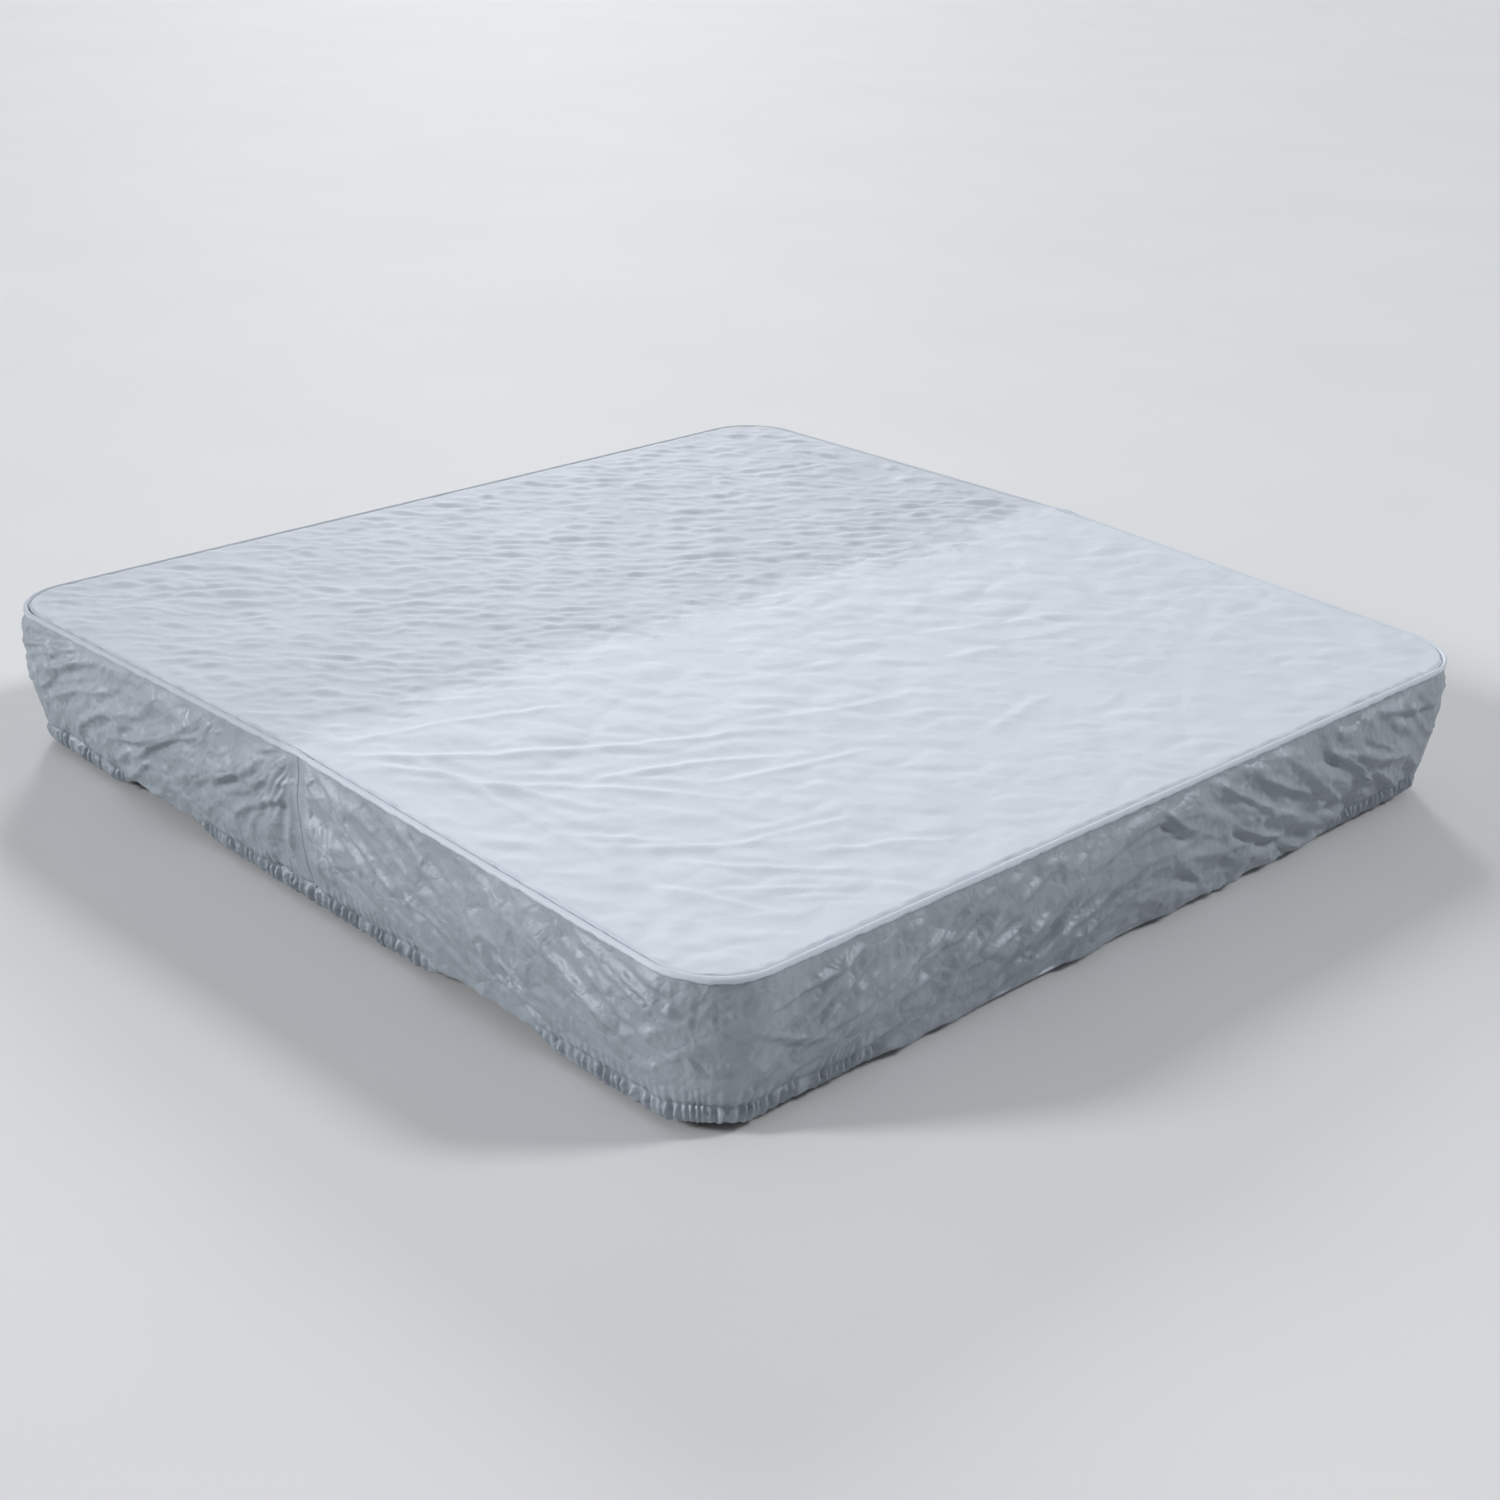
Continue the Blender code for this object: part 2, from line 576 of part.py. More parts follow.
def build_half(half, side, finishes, parent):
    foam_core(half, side, finishes["foam"], parent)
    vapour_wrap(half, side, finishes["film"], parent)
    steel_channel(half, side, finishes["steel"], parent)
    casing(half, side, finishes, parent)
    skirt_flap(half, side, finishes["vinyl"], parent)
    fold_web(half, side, finishes["vinyl"], parent)
    zipper(half, side, finishes, parent)
    for hand, sign in (("left", -1), ("right", 1)):
        handle(half, side, hand, sign, finishes["webbing"], parent)
        strap_and_buckle(half, side, hand, sign, finishes, parent)
    cap_top(half, side, finishes["cap"], parent)
    skirt_panels(half, side, finishes["cap"], parent)
    elastics(half, side, finishes["elastic"], parent)


def main():
    clear_scene()
    finishes = {
        "cap": material("silver_cap_fabric", SILVER, 0.45, 0.35),
        "vinyl": material("marine_vinyl", VINYL_GREY, 0.5),
        "lining": material("base_lining", LINING, 0.7),
        "foam": material("expanded_foam", FOAM, 0.9),
        "film": material("vapour_film", FILM_CLEAR, 0.3),
        "steel": material("galvanised_steel", STEEL, 0.35, 1.0),
        "zip": material("zip_tape", BLACK, 0.6),
        "slider": material("zip_slider", STEEL, 0.3, 1.0),
        "webbing": material("black_webbing", BLACK, 0.8),
        "buckle": material("buckle_plastic", BLACK, 0.4),
        "elastic": material("elastic_band", RUBBER, 0.8),
    }
    rear_frame = axis_empty("rear_half_frame", (0, 0, 0))
    fold_axis = axis_empty("fold_axis", (0, 0, FOLD_AXIS_Z), rear_frame)
    build_half("rear", 1, finishes, rear_frame)
    build_half("front", -1, finishes, fold_axis)
    heat_seal(finishes, rear_frame)
    bpy.context.view_layer.update()


main()
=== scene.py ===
"""Looks of the folding spa cover: a silver fitted cap over an insulated lid in two halves.

Everything is in metres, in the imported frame: X along the fold, the rear half at +Y, +Z up. Cloth is made
as grids of points whose wrinkles, creases and gathers are worked out by the functions below.
"""

import math

import bmesh
import bpy
import numpy as np
from mathutils import Matrix, Vector


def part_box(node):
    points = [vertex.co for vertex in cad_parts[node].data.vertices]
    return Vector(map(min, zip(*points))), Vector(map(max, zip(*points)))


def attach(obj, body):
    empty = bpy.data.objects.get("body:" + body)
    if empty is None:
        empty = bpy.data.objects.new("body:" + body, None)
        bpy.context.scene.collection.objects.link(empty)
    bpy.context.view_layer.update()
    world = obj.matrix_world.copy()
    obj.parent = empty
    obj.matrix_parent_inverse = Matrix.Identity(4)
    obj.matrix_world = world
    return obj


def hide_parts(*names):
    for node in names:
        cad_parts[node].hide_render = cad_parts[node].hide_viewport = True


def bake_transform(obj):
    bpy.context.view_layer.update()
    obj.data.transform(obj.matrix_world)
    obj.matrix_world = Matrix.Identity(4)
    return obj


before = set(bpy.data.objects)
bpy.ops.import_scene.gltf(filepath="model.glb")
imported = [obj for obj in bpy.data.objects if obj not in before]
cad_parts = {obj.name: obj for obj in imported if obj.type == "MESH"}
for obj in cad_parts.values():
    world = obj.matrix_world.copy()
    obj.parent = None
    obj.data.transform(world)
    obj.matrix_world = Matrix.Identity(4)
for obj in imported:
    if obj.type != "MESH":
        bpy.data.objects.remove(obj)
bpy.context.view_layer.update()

# ---- sizes read from the frame ----
HALVES = (("rear", 1), ("front", -1))
CAP_X, CAP_Y, RIDGE_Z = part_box("rear_cap_top")[1]
CAP_RADIUS = CAP_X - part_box("rear_cap_corner_right")[0].x
LID_LOW, LID_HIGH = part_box("rear_casing_top")
LID_X, LID_Y, LID_INNER_Y = LID_HIGH.x, LID_HIGH.y, LID_LOW.y
LID_RADIUS = CAP_RADIUS - (CAP_X - LID_X)
LID_RIDGE_Z = LID_HIGH.z
BASE_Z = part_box("rear_casing_base")[0].z
FLAP_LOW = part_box("rear_skirt_flap")[0].z
FOLD_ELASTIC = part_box("rear_fold_elastic_right")[1].y
CORNER_ELASTIC_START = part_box("rear_corner_elastic_right")[0].y

# ---- the cap's shape ----
TAPER = 0.028                # the ridge stands this far above the perimeter seam
SEAM_Z = RIDGE_Z - TAPER
SEAM_INSET = 0.011           # the top's grid ends this far inside the rolled seam
TOP_GRID = 0.0078
RIDGE_GRID = 0.0030
SKIRT_TOP_DROP = 0.0100      # the skirt starts this far below the top's edge
PLAIN_HEM_Z = 0.023          # height of the hem where it isn't gathered
HEM_EASE = 0.075             # length over which the hem changes from plain to gathered
HEM_TUCK = 0.033             # the hem stands this far inside the seam
HEM_LIP = 0.007              # how far the gathered hem turns in
PLAIN_LIP = 0.024            # how far the plain hem turns in
BAND = 0.034                 # height of the gathered hem
GATHER_PITCH = 0.0185
FOLD_RETURN = 0.020          # the skirt's ends turn this far into the gap at the fold
DEEPEST_FOLD = 0.0045        # how far in a skirt's fold may go, and by how much less at its top
DEEPEST_CUT = 0.0028
TALLEST_CREASE = 0.0088

# ---- thicknesses ----
VINYL = 0.0010
LINING = 0.0008
ELASTIC = 0.0016
WEBBING = 0.0015
TAPE = 0.0006

# ---- camera ----
CAMERA_AZIMUTH = -44.98
CAMERA_ELEVATION = 24.12
CAMERA_DISTANCE = 4.878
CAMERA_ASIDE = 0.037
CAMERA_RISE = -0.251
CAMERA_ROLL = 2.30
CAMERA_LENS = 57.1


# ---- smooth randomness ----
def ripple(u, v, seed):
    """Gradient noise of plane coordinates, about -1 to 1, one swell per unit."""
    angles = np.random.default_rng(seed).uniform(0, 2 * np.pi, (61, 67))
    cell_u, cell_v = np.floor(u).astype(int), np.floor(v).astype(int)
    part_u, part_v = u - cell_u, v - cell_v
    ease_u, ease_v = (p**3 * (p * (p * 6 - 15) + 10) for p in (part_u, part_v))
    total = np.zeros(np.broadcast(u, v).shape)
    for du in (0, 1):
        for dv in (0, 1):
            angle = angles[(cell_u + du) % 61, (cell_v + dv) % 67]
            slope = np.cos(angle) * (part_u - du) + np.sin(angle) * (part_v - dv)
            total += (ease_u if du else 1 - ease_u) * (ease_v if dv else 1 - ease_v) * slope
    return total * 1.5


def crinkle(along, across, length, pitch, seed):
    """Short wavy wrinkles that run `along`: soft swells with sharper crests between them."""
    bend = ripple(along / (1.6 * length), across / (4 * pitch), seed + 1)
    u = along / length + 0.35 * ripple(along / length, across / (2 * pitch), seed + 2)
    v = across / pitch + 1.3 * bend
    crest = 1 - 2.6 * np.abs(ripple(1.2 * u + 5, 1.1 * v + 3, seed + 3))
    return 0.55 * ripple(u, v, seed) + 0.45 * crest


def facets(u, v, seed):
    """Crumpled facets, about -0.5 to 1: high inside the cells of a loose net, creased along its lines."""
    jitter = np.random.default_rng(seed).uniform(0.1, 0.9, (53, 59, 2))
    cell_u, cell_v = np.floor(u).astype(int), np.floor(v).astype(int)
    nearest = np.full(np.broadcast(u, v).shape, 9.0)
    second = nearest.copy()
    for du in (-1, 0, 1):
        for dv in (-1, 0, 1):
            place = jitter[(cell_u + du) % 53, (cell_v + dv) % 59]
            gap = np.hypot(cell_u + du + place[..., 0] - u, cell_v + dv + place[..., 1] - v)
            second = np.minimum(second, np.maximum(nearest, gap))
            nearest = np.minimum(nearest, gap)
    return (second - nearest) * 1.6 - 0.5


def crumple(along, across, length, pitch, seed):
    """Facets drawn out along a direction, with their creases bent a little."""
    bend_u = 0.35 * ripple(along / length, across / pitch, seed + 4)
    bend_v = 0.45 * ripple(along / length + 9, across / pitch + 3, seed + 5)
    return facets(along / length + bend_u, across / pitch + bend_v, seed + 6)


def wobble(s, pitch, row, seed):
    """Gradient noise along a length, one swell per pitch."""
    return ripple(s / pitch, s * 0 + row, seed)


def bell(value, width):
    return np.exp(-((value / width) ** 2))


def smooth(value, low, high):
    """0 below low, 1 above high, with an eased step between."""
    t = np.clip((value - low) / (high - low), 0, 1)
    return t * t * (3 - 2 * t)


def limit_inward(height, deepest):
    """Softly limits what goes in, so that the cloth never dips into what is under it."""
    return np.where(height < 0, -deepest * np.tanh(-height / deepest), height)


def crease(x, y, start, end, width, bow=0.0):
    """A long fold of cloth between two places: a crest with a shallow furrow beside it."""
    run = np.hypot(end[0] - start[0], end[1] - start[1])
    tx, ty = (end[0] - start[0]) / run, (end[1] - start[1]) / run
    along = ((x - start[0]) * tx + (y - start[1]) * ty) / run
    inside = np.clip(along, 0, 1)
    across = (x - start[0]) * -ty + (y - start[1]) * tx - bow * np.sin(np.pi * inside)
    across = across + 0.5 * width * ripple(along * run / 0.09, along * 0 + start[0] * 7, 77)
    ends = smooth(along, -0.02, 0.25) * (1 - smooth(along, 0.72, 1.02))
    crest = np.exp(-(np.hypot(across, 0.15 * width) - 0.15 * width) / (0.75 * width))
    furrow = 0.55 * bell(across - 1.9 * width, 1.2 * width)
    return (crest - furrow) * ends


# ---- outlines ----
def rounded(px, py, half_x, half_y, radius, open_side=None):
    """Moves a rectangle's grid points so that its corners are rounded; open_side keeps those at -y square."""
    x, y = np.array(px, float), np.array(py, float)
    cx, cy = np.abs(x) - (half_x - radius), np.abs(y) - (half_y - radius)
    corner = (cx > 0) & (cy > 0)
    if open_side:
        corner &= y > 0
    p, q = np.where(corner, cx, 0), np.where(corner, cy, 0)
    new_p = p * np.sqrt(1 - q**2 / (2 * radius**2))
    new_q = q * np.sqrt(1 - p**2 / (2 * radius**2))
    x = np.where(corner, np.sign(x) * (half_x - radius + new_p), x)
    y = np.where(corner, np.sign(y) * (half_y - radius + new_q), y)
    return x, y


class Edge:
    """The outer edge of one half, from the fold's end at +X round to the one at -X, by length."""

    def __init__(self, half_x, half_y, radius, start_y):
        self.side = half_y - radius - start_y
        self.turn = radius * math.pi / 2
        self.back = 2 * (half_x - radius)
        self.length = 2 * self.side + 2 * self.turn + self.back
        self.half_x, self.half_y, self.radius, self.start_y = half_x, half_y, radius, start_y

    def at(self, s):
        """x, y and the outward normal at lengths s along the edge."""
        s = np.asarray(s, float)
        mirrored = s > self.length / 2
        t = np.where(mirrored, self.length - s, s)
        angle = np.clip((t - self.side) / self.radius, 0, math.pi / 2)
        past = np.maximum(t - self.side - self.turn, 0)
        x = self.half_x - self.radius + self.radius * np.cos(angle) - past
        y = self.start_y + np.minimum(t, self.side) + self.radius * np.sin(angle)
        flip = np.where(mirrored, -1, 1)
        return x * flip, y, np.cos(angle) * flip, np.sin(angle)

    def stations(self, fine, coarse, is_fine):
        """Lengths along the edge, closer together where is_fine says so."""
        s, found = 0.0, [0.0]
        while s < self.length / 2:
            s += fine if is_fine(s) else coarse
            found.append(min(s, self.length / 2))
        half = np.array(found)
        return np.concatenate([half, self.length - half[-2::-1]])


def beyond(x, y, nx, ny, out, z):
    """A row of points at height z, `out` beyond an outline."""
    return np.stack([x + nx * out, y + ny * out, z + 0 * x], axis=-1)


# ---- mesh helpers ----
def link(obj):
    bpy.context.scene.collection.objects.link(obj)
    return obj


def grid_faces(rows, columns, closed=False):
    across = columns if closed else columns - 1
    i, j = np.meshgrid(np.arange(rows - 1), np.arange(across), indexing="ij")
    after = (j + 1) % columns
    corners = (i * columns + j, i * columns + after, (i + 1) * columns + after, (i + 1) * columns + j)
    return np.stack([c.ravel() for c in corners], axis=1)


def mesh_object(name, points, faces, finish):
    mesh = bpy.data.meshes.new(name)
    mesh.from_pydata(np.asarray(points, float).tolist(), [], np.asarray(faces).tolist())
    mesh.validate()
    mesh.materials.append(finish)
    mesh.shade_smooth()
    return link(bpy.data.objects.new(name, mesh))


def sheet_object(name, grid, finish, flip=False):
    """A sheet of cloth from a grid of points with shape (rows, columns, 3)."""
    faces = grid_faces(grid.shape[0], grid.shape[1])
    return mesh_object(name, grid.reshape(-1, 3), faces[:, ::-1] if flip else faces, finish)


def on_side(grid, side):
    """A grid that was worked out for the rear half, moved to the half at `side`."""
    grid = np.array(grid, float)
    grid[..., 1] *= side
    return grid


def give_thickness(obj, thickness, offset=-1.0):
    modifier = obj.modifiers.new("thickness", "SOLIDIFY")
    modifier.thickness = thickness
    modifier.offset = offset


def soften(node, width, segments=2):
    """A small rounded edge on a CAD piece, which keeps its own mesh."""
    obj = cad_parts[node]
    bevel = obj.modifiers.new("edges", "BEVEL")
    bevel.width = width
    bevel.segments = segments
    bevel.limit_method = "ANGLE"
    bevel.angle_limit = math.radians(35)
    obj.data.shade_smooth()
    obj.data.set_sharp_from_angle(angle=math.radians(35))


def finish_node(node, finish):
    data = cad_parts[node].data
    data.materials.clear()
    data.materials.append(finish)


# ---- materials ----
class Finish:
    """A Principled material with short ways to add procedural nodes to it."""

    def __init__(self, name, roughness, metallic=0.0):
        self.material = bpy.data.materials.new(name)
        self.material.use_nodes = True
        self.tree = self.material.node_tree
        self.shader = self.tree.nodes["Principled BSDF"]
        self.shader.inputs["Roughness"].default_value = roughness
        self.shader.inputs["Metallic"].default_value = metallic
        self.place = self.node("ShaderNodeTexCoord").outputs["Object"]

    def node(self, kind, **settings):
        made = self.tree.nodes.new(kind)
        for key, value in settings.items():
            if key in made.inputs:
                made.inputs[key].default_value = value
            else:
                setattr(made, key, value)
        return made

    def join(self, source, target):
        self.tree.links.new(source, target)

    def mapped(self, scale, rotation=(0, 0, 0)):
        mapping = self.node("ShaderNodeMapping")
        mapping.inputs["Scale"].default_value = scale
        mapping.inputs["Rotation"].default_value = [math.radians(a) for a in rotation]
        self.join(self.place, mapping.inputs["Vector"])
        return mapping.outputs["Vector"]

    def noise(self, scale, detail=3.0, roughness=0.5, distortion=0.0, place=None):
        made = self.node("ShaderNodeTexNoise", Scale=scale, Detail=detail, Distortion=distortion)
        made.inputs["Roughness"].default_value = roughness
        self.join(place or self.place, made.inputs["Vector"])
        return made.outputs["Fac"]

    def wave(self, scale, place, distortion=0.0):
        made = self.node("ShaderNodeTexWave", Scale=scale, Distortion=distortion)
        self.join(place, made.inputs["Vector"])
        return made.outputs["Fac"]

    def warped(self, scale, amount):
        """Object coordinates pushed about by noise, so that straight cells turn into loose creases."""
        noise = self.node("ShaderNodeTexNoise", Scale=scale, Detail=2.0)
        self.join(self.place, noise.inputs["Vector"])
        steps = [self.node("ShaderNodeVectorMath", operation=name) for name in ("SUBTRACT", "SCALE", "ADD")]
        centred, scaled, moved = steps
        centred.inputs[1].default_value = (0.5, 0.5, 0.5)
        scaled.inputs["Scale"].default_value = amount
        self.join(noise.outputs["Color"], centred.inputs[0])
        self.join(centred.outputs["Vector"], scaled.inputs[0])
        self.join(self.place, moved.inputs[0])
        self.join(scaled.outputs["Vector"], moved.inputs[1])
        return moved.outputs["Vector"]

    def cells(self, scale, feature="F1", place=None):
        made = self.node("ShaderNodeTexVoronoi", Scale=scale, feature=feature)
        self.join(place or self.place, made.inputs["Vector"])
        return made.outputs["Distance"]

    def ramp(self, factor, stops):
        made = self.node("ShaderNodeValToRGB")
        elements = made.color_ramp.elements
        while len(elements) < len(stops):
            elements.new(0.5)
        for element, (place, color) in zip(elements, stops):
            element.position = place
            element.color = (*color, 1)
        self.join(factor, made.inputs["Fac"])
        return made.outputs["Color"]

    def math(self, operation, first, second):
        made = self.node("ShaderNodeMath", operation=operation)
        for index, value in enumerate((first, second)):
            if isinstance(value, (int, float)):
                made.inputs[index].default_value = value
            else:
                self.join(value, made.inputs[index])
        return made.outputs["Value"]

    def color(self, source):
        self.join(source, self.shader.inputs["Base Color"])

    def tint(self, factor, low, dark, high, light):
        """Base colour that goes from dark to light as the factor goes from low to high."""
        self.color(self.ramp(factor, ((low, dark), (high, light))))

    def roughness(self, factor, low, high):
        made = self.node("ShaderNodeMapRange")
        made.inputs["To Min"].default_value = low
        made.inputs["To Max"].default_value = high
        self.join(factor, made.inputs["Value"])
        self.join(made.outputs["Result"], self.shader.inputs["Roughness"])

    def bump(self, height, depth, strength=1.0, under=None):
        made = self.node("ShaderNodeBump", Strength=strength, Distance=depth)
        self.join(height, made.inputs["Height"])
        if under is not None:
            self.join(under, made.inputs["Normal"])
        self.join(made.outputs["Normal"], self.shader.inputs["Normal"])
        return made.outputs["Normal"]

    def weave(self, under):
        """A fine plain weave over the bumps under it."""
        threads = [self.wave(900.0, self.mapped((1, 1, 1), (0, 0, turn))) for turn in (45, -45)]
        self.bump(self.math("MULTIPLY", *threads), 0.00008, 0.5, under)


def silver_cloth(name, light, dark, crinkle_depth):
    """Thin polyester with a silver coat: soft metal sheen, small crumples and a fine plain weave."""
    made = Finish(name, 0.55, metallic=0.22)
    patches = made.noise(5.0, detail=5.0, roughness=0.6)
    made.tint(patches, 0.32, dark, 0.68, light)
    made.roughness(made.noise(14.0, detail=4.0), 0.40, 0.62)
    wrinkled = made.noise(26.0, detail=6.0, roughness=0.55, distortion=0.6)
    under = made.bump(wrinkled, crinkle_depth, 0.7)
    broad, narrow = (15.0, 7.0, 0.10, 0.018, 0.45), (42.0, 18.0, 0.05, 0.006, 0.35)
    for scale, bend, amount, depth, strength in (broad, narrow):
        creased = made.cells(scale, "DISTANCE_TO_EDGE", made.warped(bend, amount))
        under = made.bump(creased, depth, strength, under)
    fine = made.noise(110.0, detail=3.0, roughness=0.6)
    under = made.bump(fine, 0.0006, 0.6, under)
    made.weave(under)
    return made.material


def cap_top_cloth():
    """The same cloth over the top, with a lighter base colour than the skirt's copy. The rear slope, where it
    lies slacker, has a darker base colour: painted shade, as the slope that faces away from the camera
    catches less sheen.
    """
    made = Finish("silver_cloth_top", 0.65, metallic=0.05)
    split = made.node("ShaderNodeSeparateXYZ")
    made.join(made.place, split.inputs["Vector"])
    ragged = made.noise(6.5, detail=6.0, roughness=0.68, distortion=0.8)
    offset = made.math("MULTIPLY", made.math("SUBTRACT", ragged, 0.5), 0.42)
    shifted = made.math("ADD", split.outputs["Y"], offset)
    rear = made.node("ShaderNodeMapRange", interpolation_type="SMOOTHSTEP")
    rear.inputs["From Min"].default_value = -0.02
    rear.inputs["From Max"].default_value = 0.11
    made.join(shifted, rear.inputs["Value"])
    patches = made.noise(6.0, detail=6.0, roughness=0.6)
    bright = made.ramp(patches, ((0.3, (0.62, 0.665, 0.735)), (0.7, (0.655, 0.70, 0.765))))
    # painted shade: a darker copy of the base colour for the rear slope, mixed in by the ragged rear mask
    # below
    rear_painted_shade = made.ramp(patches, ((0.3, (0.48, 0.515, 0.575)), (0.7, (0.55, 0.585, 0.645))))
    mixed = made.node("ShaderNodeMix", data_type="RGBA")
    made.join(rear.outputs["Result"], mixed.inputs["Factor"])
    made.join(bright, mixed.inputs[6])
    made.join(rear_painted_shade, mixed.inputs[7])
    made.color(mixed.outputs[2])
    made.roughness(made.noise(12.0, detail=4.0), 0.60, 0.74)
    slanted = made.mapped((0.7, 1.25, 1), (0, 0, 45))
    wrinkled = made.noise(30.0, detail=6.0, roughness=0.55, distortion=0.5, place=slanted)
    under = made.bump(wrinkled, 0.0012, 0.8)
    under = made.bump(made.noise(120.0, detail=3.0), 0.0004, 0.5, under)
    made.weave(under)
    return made.material


def marine_vinyl():
    """Grained vinyl of the lid's casing."""
    made = Finish("marine_vinyl", 0.48)
    made.tint(made.noise(7.0, detail=4.0), 0.3, (0.125, 0.14, 0.16), 0.75, (0.16, 0.175, 0.195))
    made.roughness(made.noise(40.0), 0.42, 0.56)
    under = made.bump(made.cells(420.0), 0.0005, 0.55)
    made.bump(made.noise(35.0, detail=4.0), 0.0008, 0.4, under)
    return made.material


def base_lining():
    """Woven scrim of the underside, pale, with the foam just telling through."""
    made = Finish("base_lining", 0.72)
    made.tint(made.noise(4.0, detail=6.0), 0.3, (0.46, 0.47, 0.47), 0.7, (0.54, 0.55, 0.55))
    made.roughness(made.noise(30.0), 0.62, 0.8)
    threads = [made.wave(115.0, made.mapped(axis)) for axis in ((1, 0, 0), (0, 1, 0))]
    scrim = made.math("MAXIMUM", *threads)
    under = made.bump(made.noise(18.0, detail=5.0), 0.0016, 0.5)
    made.bump(scrim, 0.0004, 0.6, under)
    return made.material


def webbing(name, along):
    """Flat woven webbing; `along` is the texture axis that the ribs cross."""
    made = Finish(name, 0.78)
    ribs = made.wave(260.0, made.mapped(along), distortion=0.6)
    mixed = made.math("ADD", made.math("MULTIPLY", ribs, 0.5), made.math("MULTIPLY", made.noise(60.0), 0.5))
    made.tint(mixed, 0.2, (0.012, 0.012, 0.014), 0.9, (0.05, 0.05, 0.055))
    made.roughness(made.noise(80.0), 0.7, 0.88)
    made.bump(ribs, 0.0006, 0.7)
    return made.material


def simple_finishes():
    """Finishes of the smaller and the hidden pieces."""
    made = {}
    for key, name, base, metallic, speckle, dark, light, sheen in (
        ("foam", "expanded_foam", 0.85, 0.0, (12.0,),
         (0.80, 0.81, 0.82), (0.88, 0.89, 0.90), (50.0, 0.8, 0.92)),
        ("film", "vapour_film", 0.25, 0.0, (9.0, 5.0),
         (0.62, 0.67, 0.72), (0.74, 0.78, 0.82), (22.0, 0.18, 0.36)),
        ("plastic", "buckle_plastic", 0.42, 0.0, (30.0,),
         (0.018, 0.018, 0.02), (0.034, 0.034, 0.037), (160.0, 0.36, 0.5)),
        ("zinc", "zip_slider_metal", 0.3, 1.0, (90.0,),
         (0.30, 0.31, 0.32), (0.42, 0.43, 0.44), (140.0, 0.24, 0.42)),
        ("tape", "zip_tape", 0.75, 0.0, (70.0,),
         (0.02, 0.02, 0.022), (0.045, 0.045, 0.05), (90.0, 0.68, 0.85)),
        ("elastic", "elastic_band", 0.7, 0.0, (40.0,),
         (0.60, 0.60, 0.58), (0.70, 0.70, 0.68), (60.0, 0.62, 0.8)),
    ):
        finish = made[key] = Finish(name, base, metallic)
        finish.tint(finish.noise(*speckle), 0.3, dark, 0.8, light)
        finish.roughness(finish.noise(sheen[0]), *sheen[1:])
    foam, film, plastic, tape, elastic = (made[key] for key in ("foam", "film", "plastic", "tape", "elastic"))
    foam.bump(foam.cells(240.0), 0.0006, 0.6)
    film.bump(film.noise(45.0, detail=5.0, distortion=1.0), 0.0008, 0.5)
    plastic.bump(plastic.noise(900.0, detail=2.0), 0.0001, 0.4)
    tape.bump(tape.wave(420.0, tape.mapped((0, 0, 1))), 0.0003, 0.6)
    elastic.bump(elastic.wave(190.0, elastic.mapped((0, 0, 1))), 0.0006, 0.7)

    steel = made["steel"] = Finish("galvanised_steel", 0.4, metallic=1.0)
    steel.tint(steel.cells(60.0), 0.0, (0.50, 0.52, 0.54), 0.6, (0.66, 0.67, 0.68))
    steel.roughness(steel.cells(60.0), 0.28, 0.5)
    return {key: finish.material for key, finish in made.items()}


# ---- the cap's top ----
def top_height(y):
    return SEAM_Z + TAPER * (1 - np.abs(y) / CAP_Y)


def top_wrinkles(x, y):
    """Height of the cap's wrinkles over its taut surface."""
    along, across = (x - y) / math.sqrt(2), (x + y) / math.sqrt(2)
    ragged = 0.05 * ripple(x / 0.13, y / 0.13, 5) + 0.03 * ripple(x / 0.045, y / 0.045, 6)
    rear = smooth(y + ragged, 0.0, 0.08)
    dense = 0.0046 * crinkle(along, across, 0.155, 0.050, 11)
    dense = dense + 0.0036 * crumple(along, across, 0.090, 0.038, 21)
    slack = 0.0016 * ripple(x / 0.30, y / 0.30, 31) + 0.0010 * crumple(along, across, 0.040, 0.018, 25)
    calm = 0.0014 * crinkle(along, across, 0.20, 0.07, 41) + 0.0019 * crumple(along, across, 0.14, 0.085, 45)
    calm = calm + 0.0016 * ripple(x / 0.35, y / 0.28, 51) + 0.0006 * crumple(along, across, 0.05, 0.03, 55)
    height = rear * (dense + slack) + (1 - rear) * (1.5 * calm + 2.6 * front_creases(x, y))
    lowest = 0.0004 + 0.0014 * smooth(np.abs(y), 0.04, 0.08)
    return limit_inward(height, lowest)


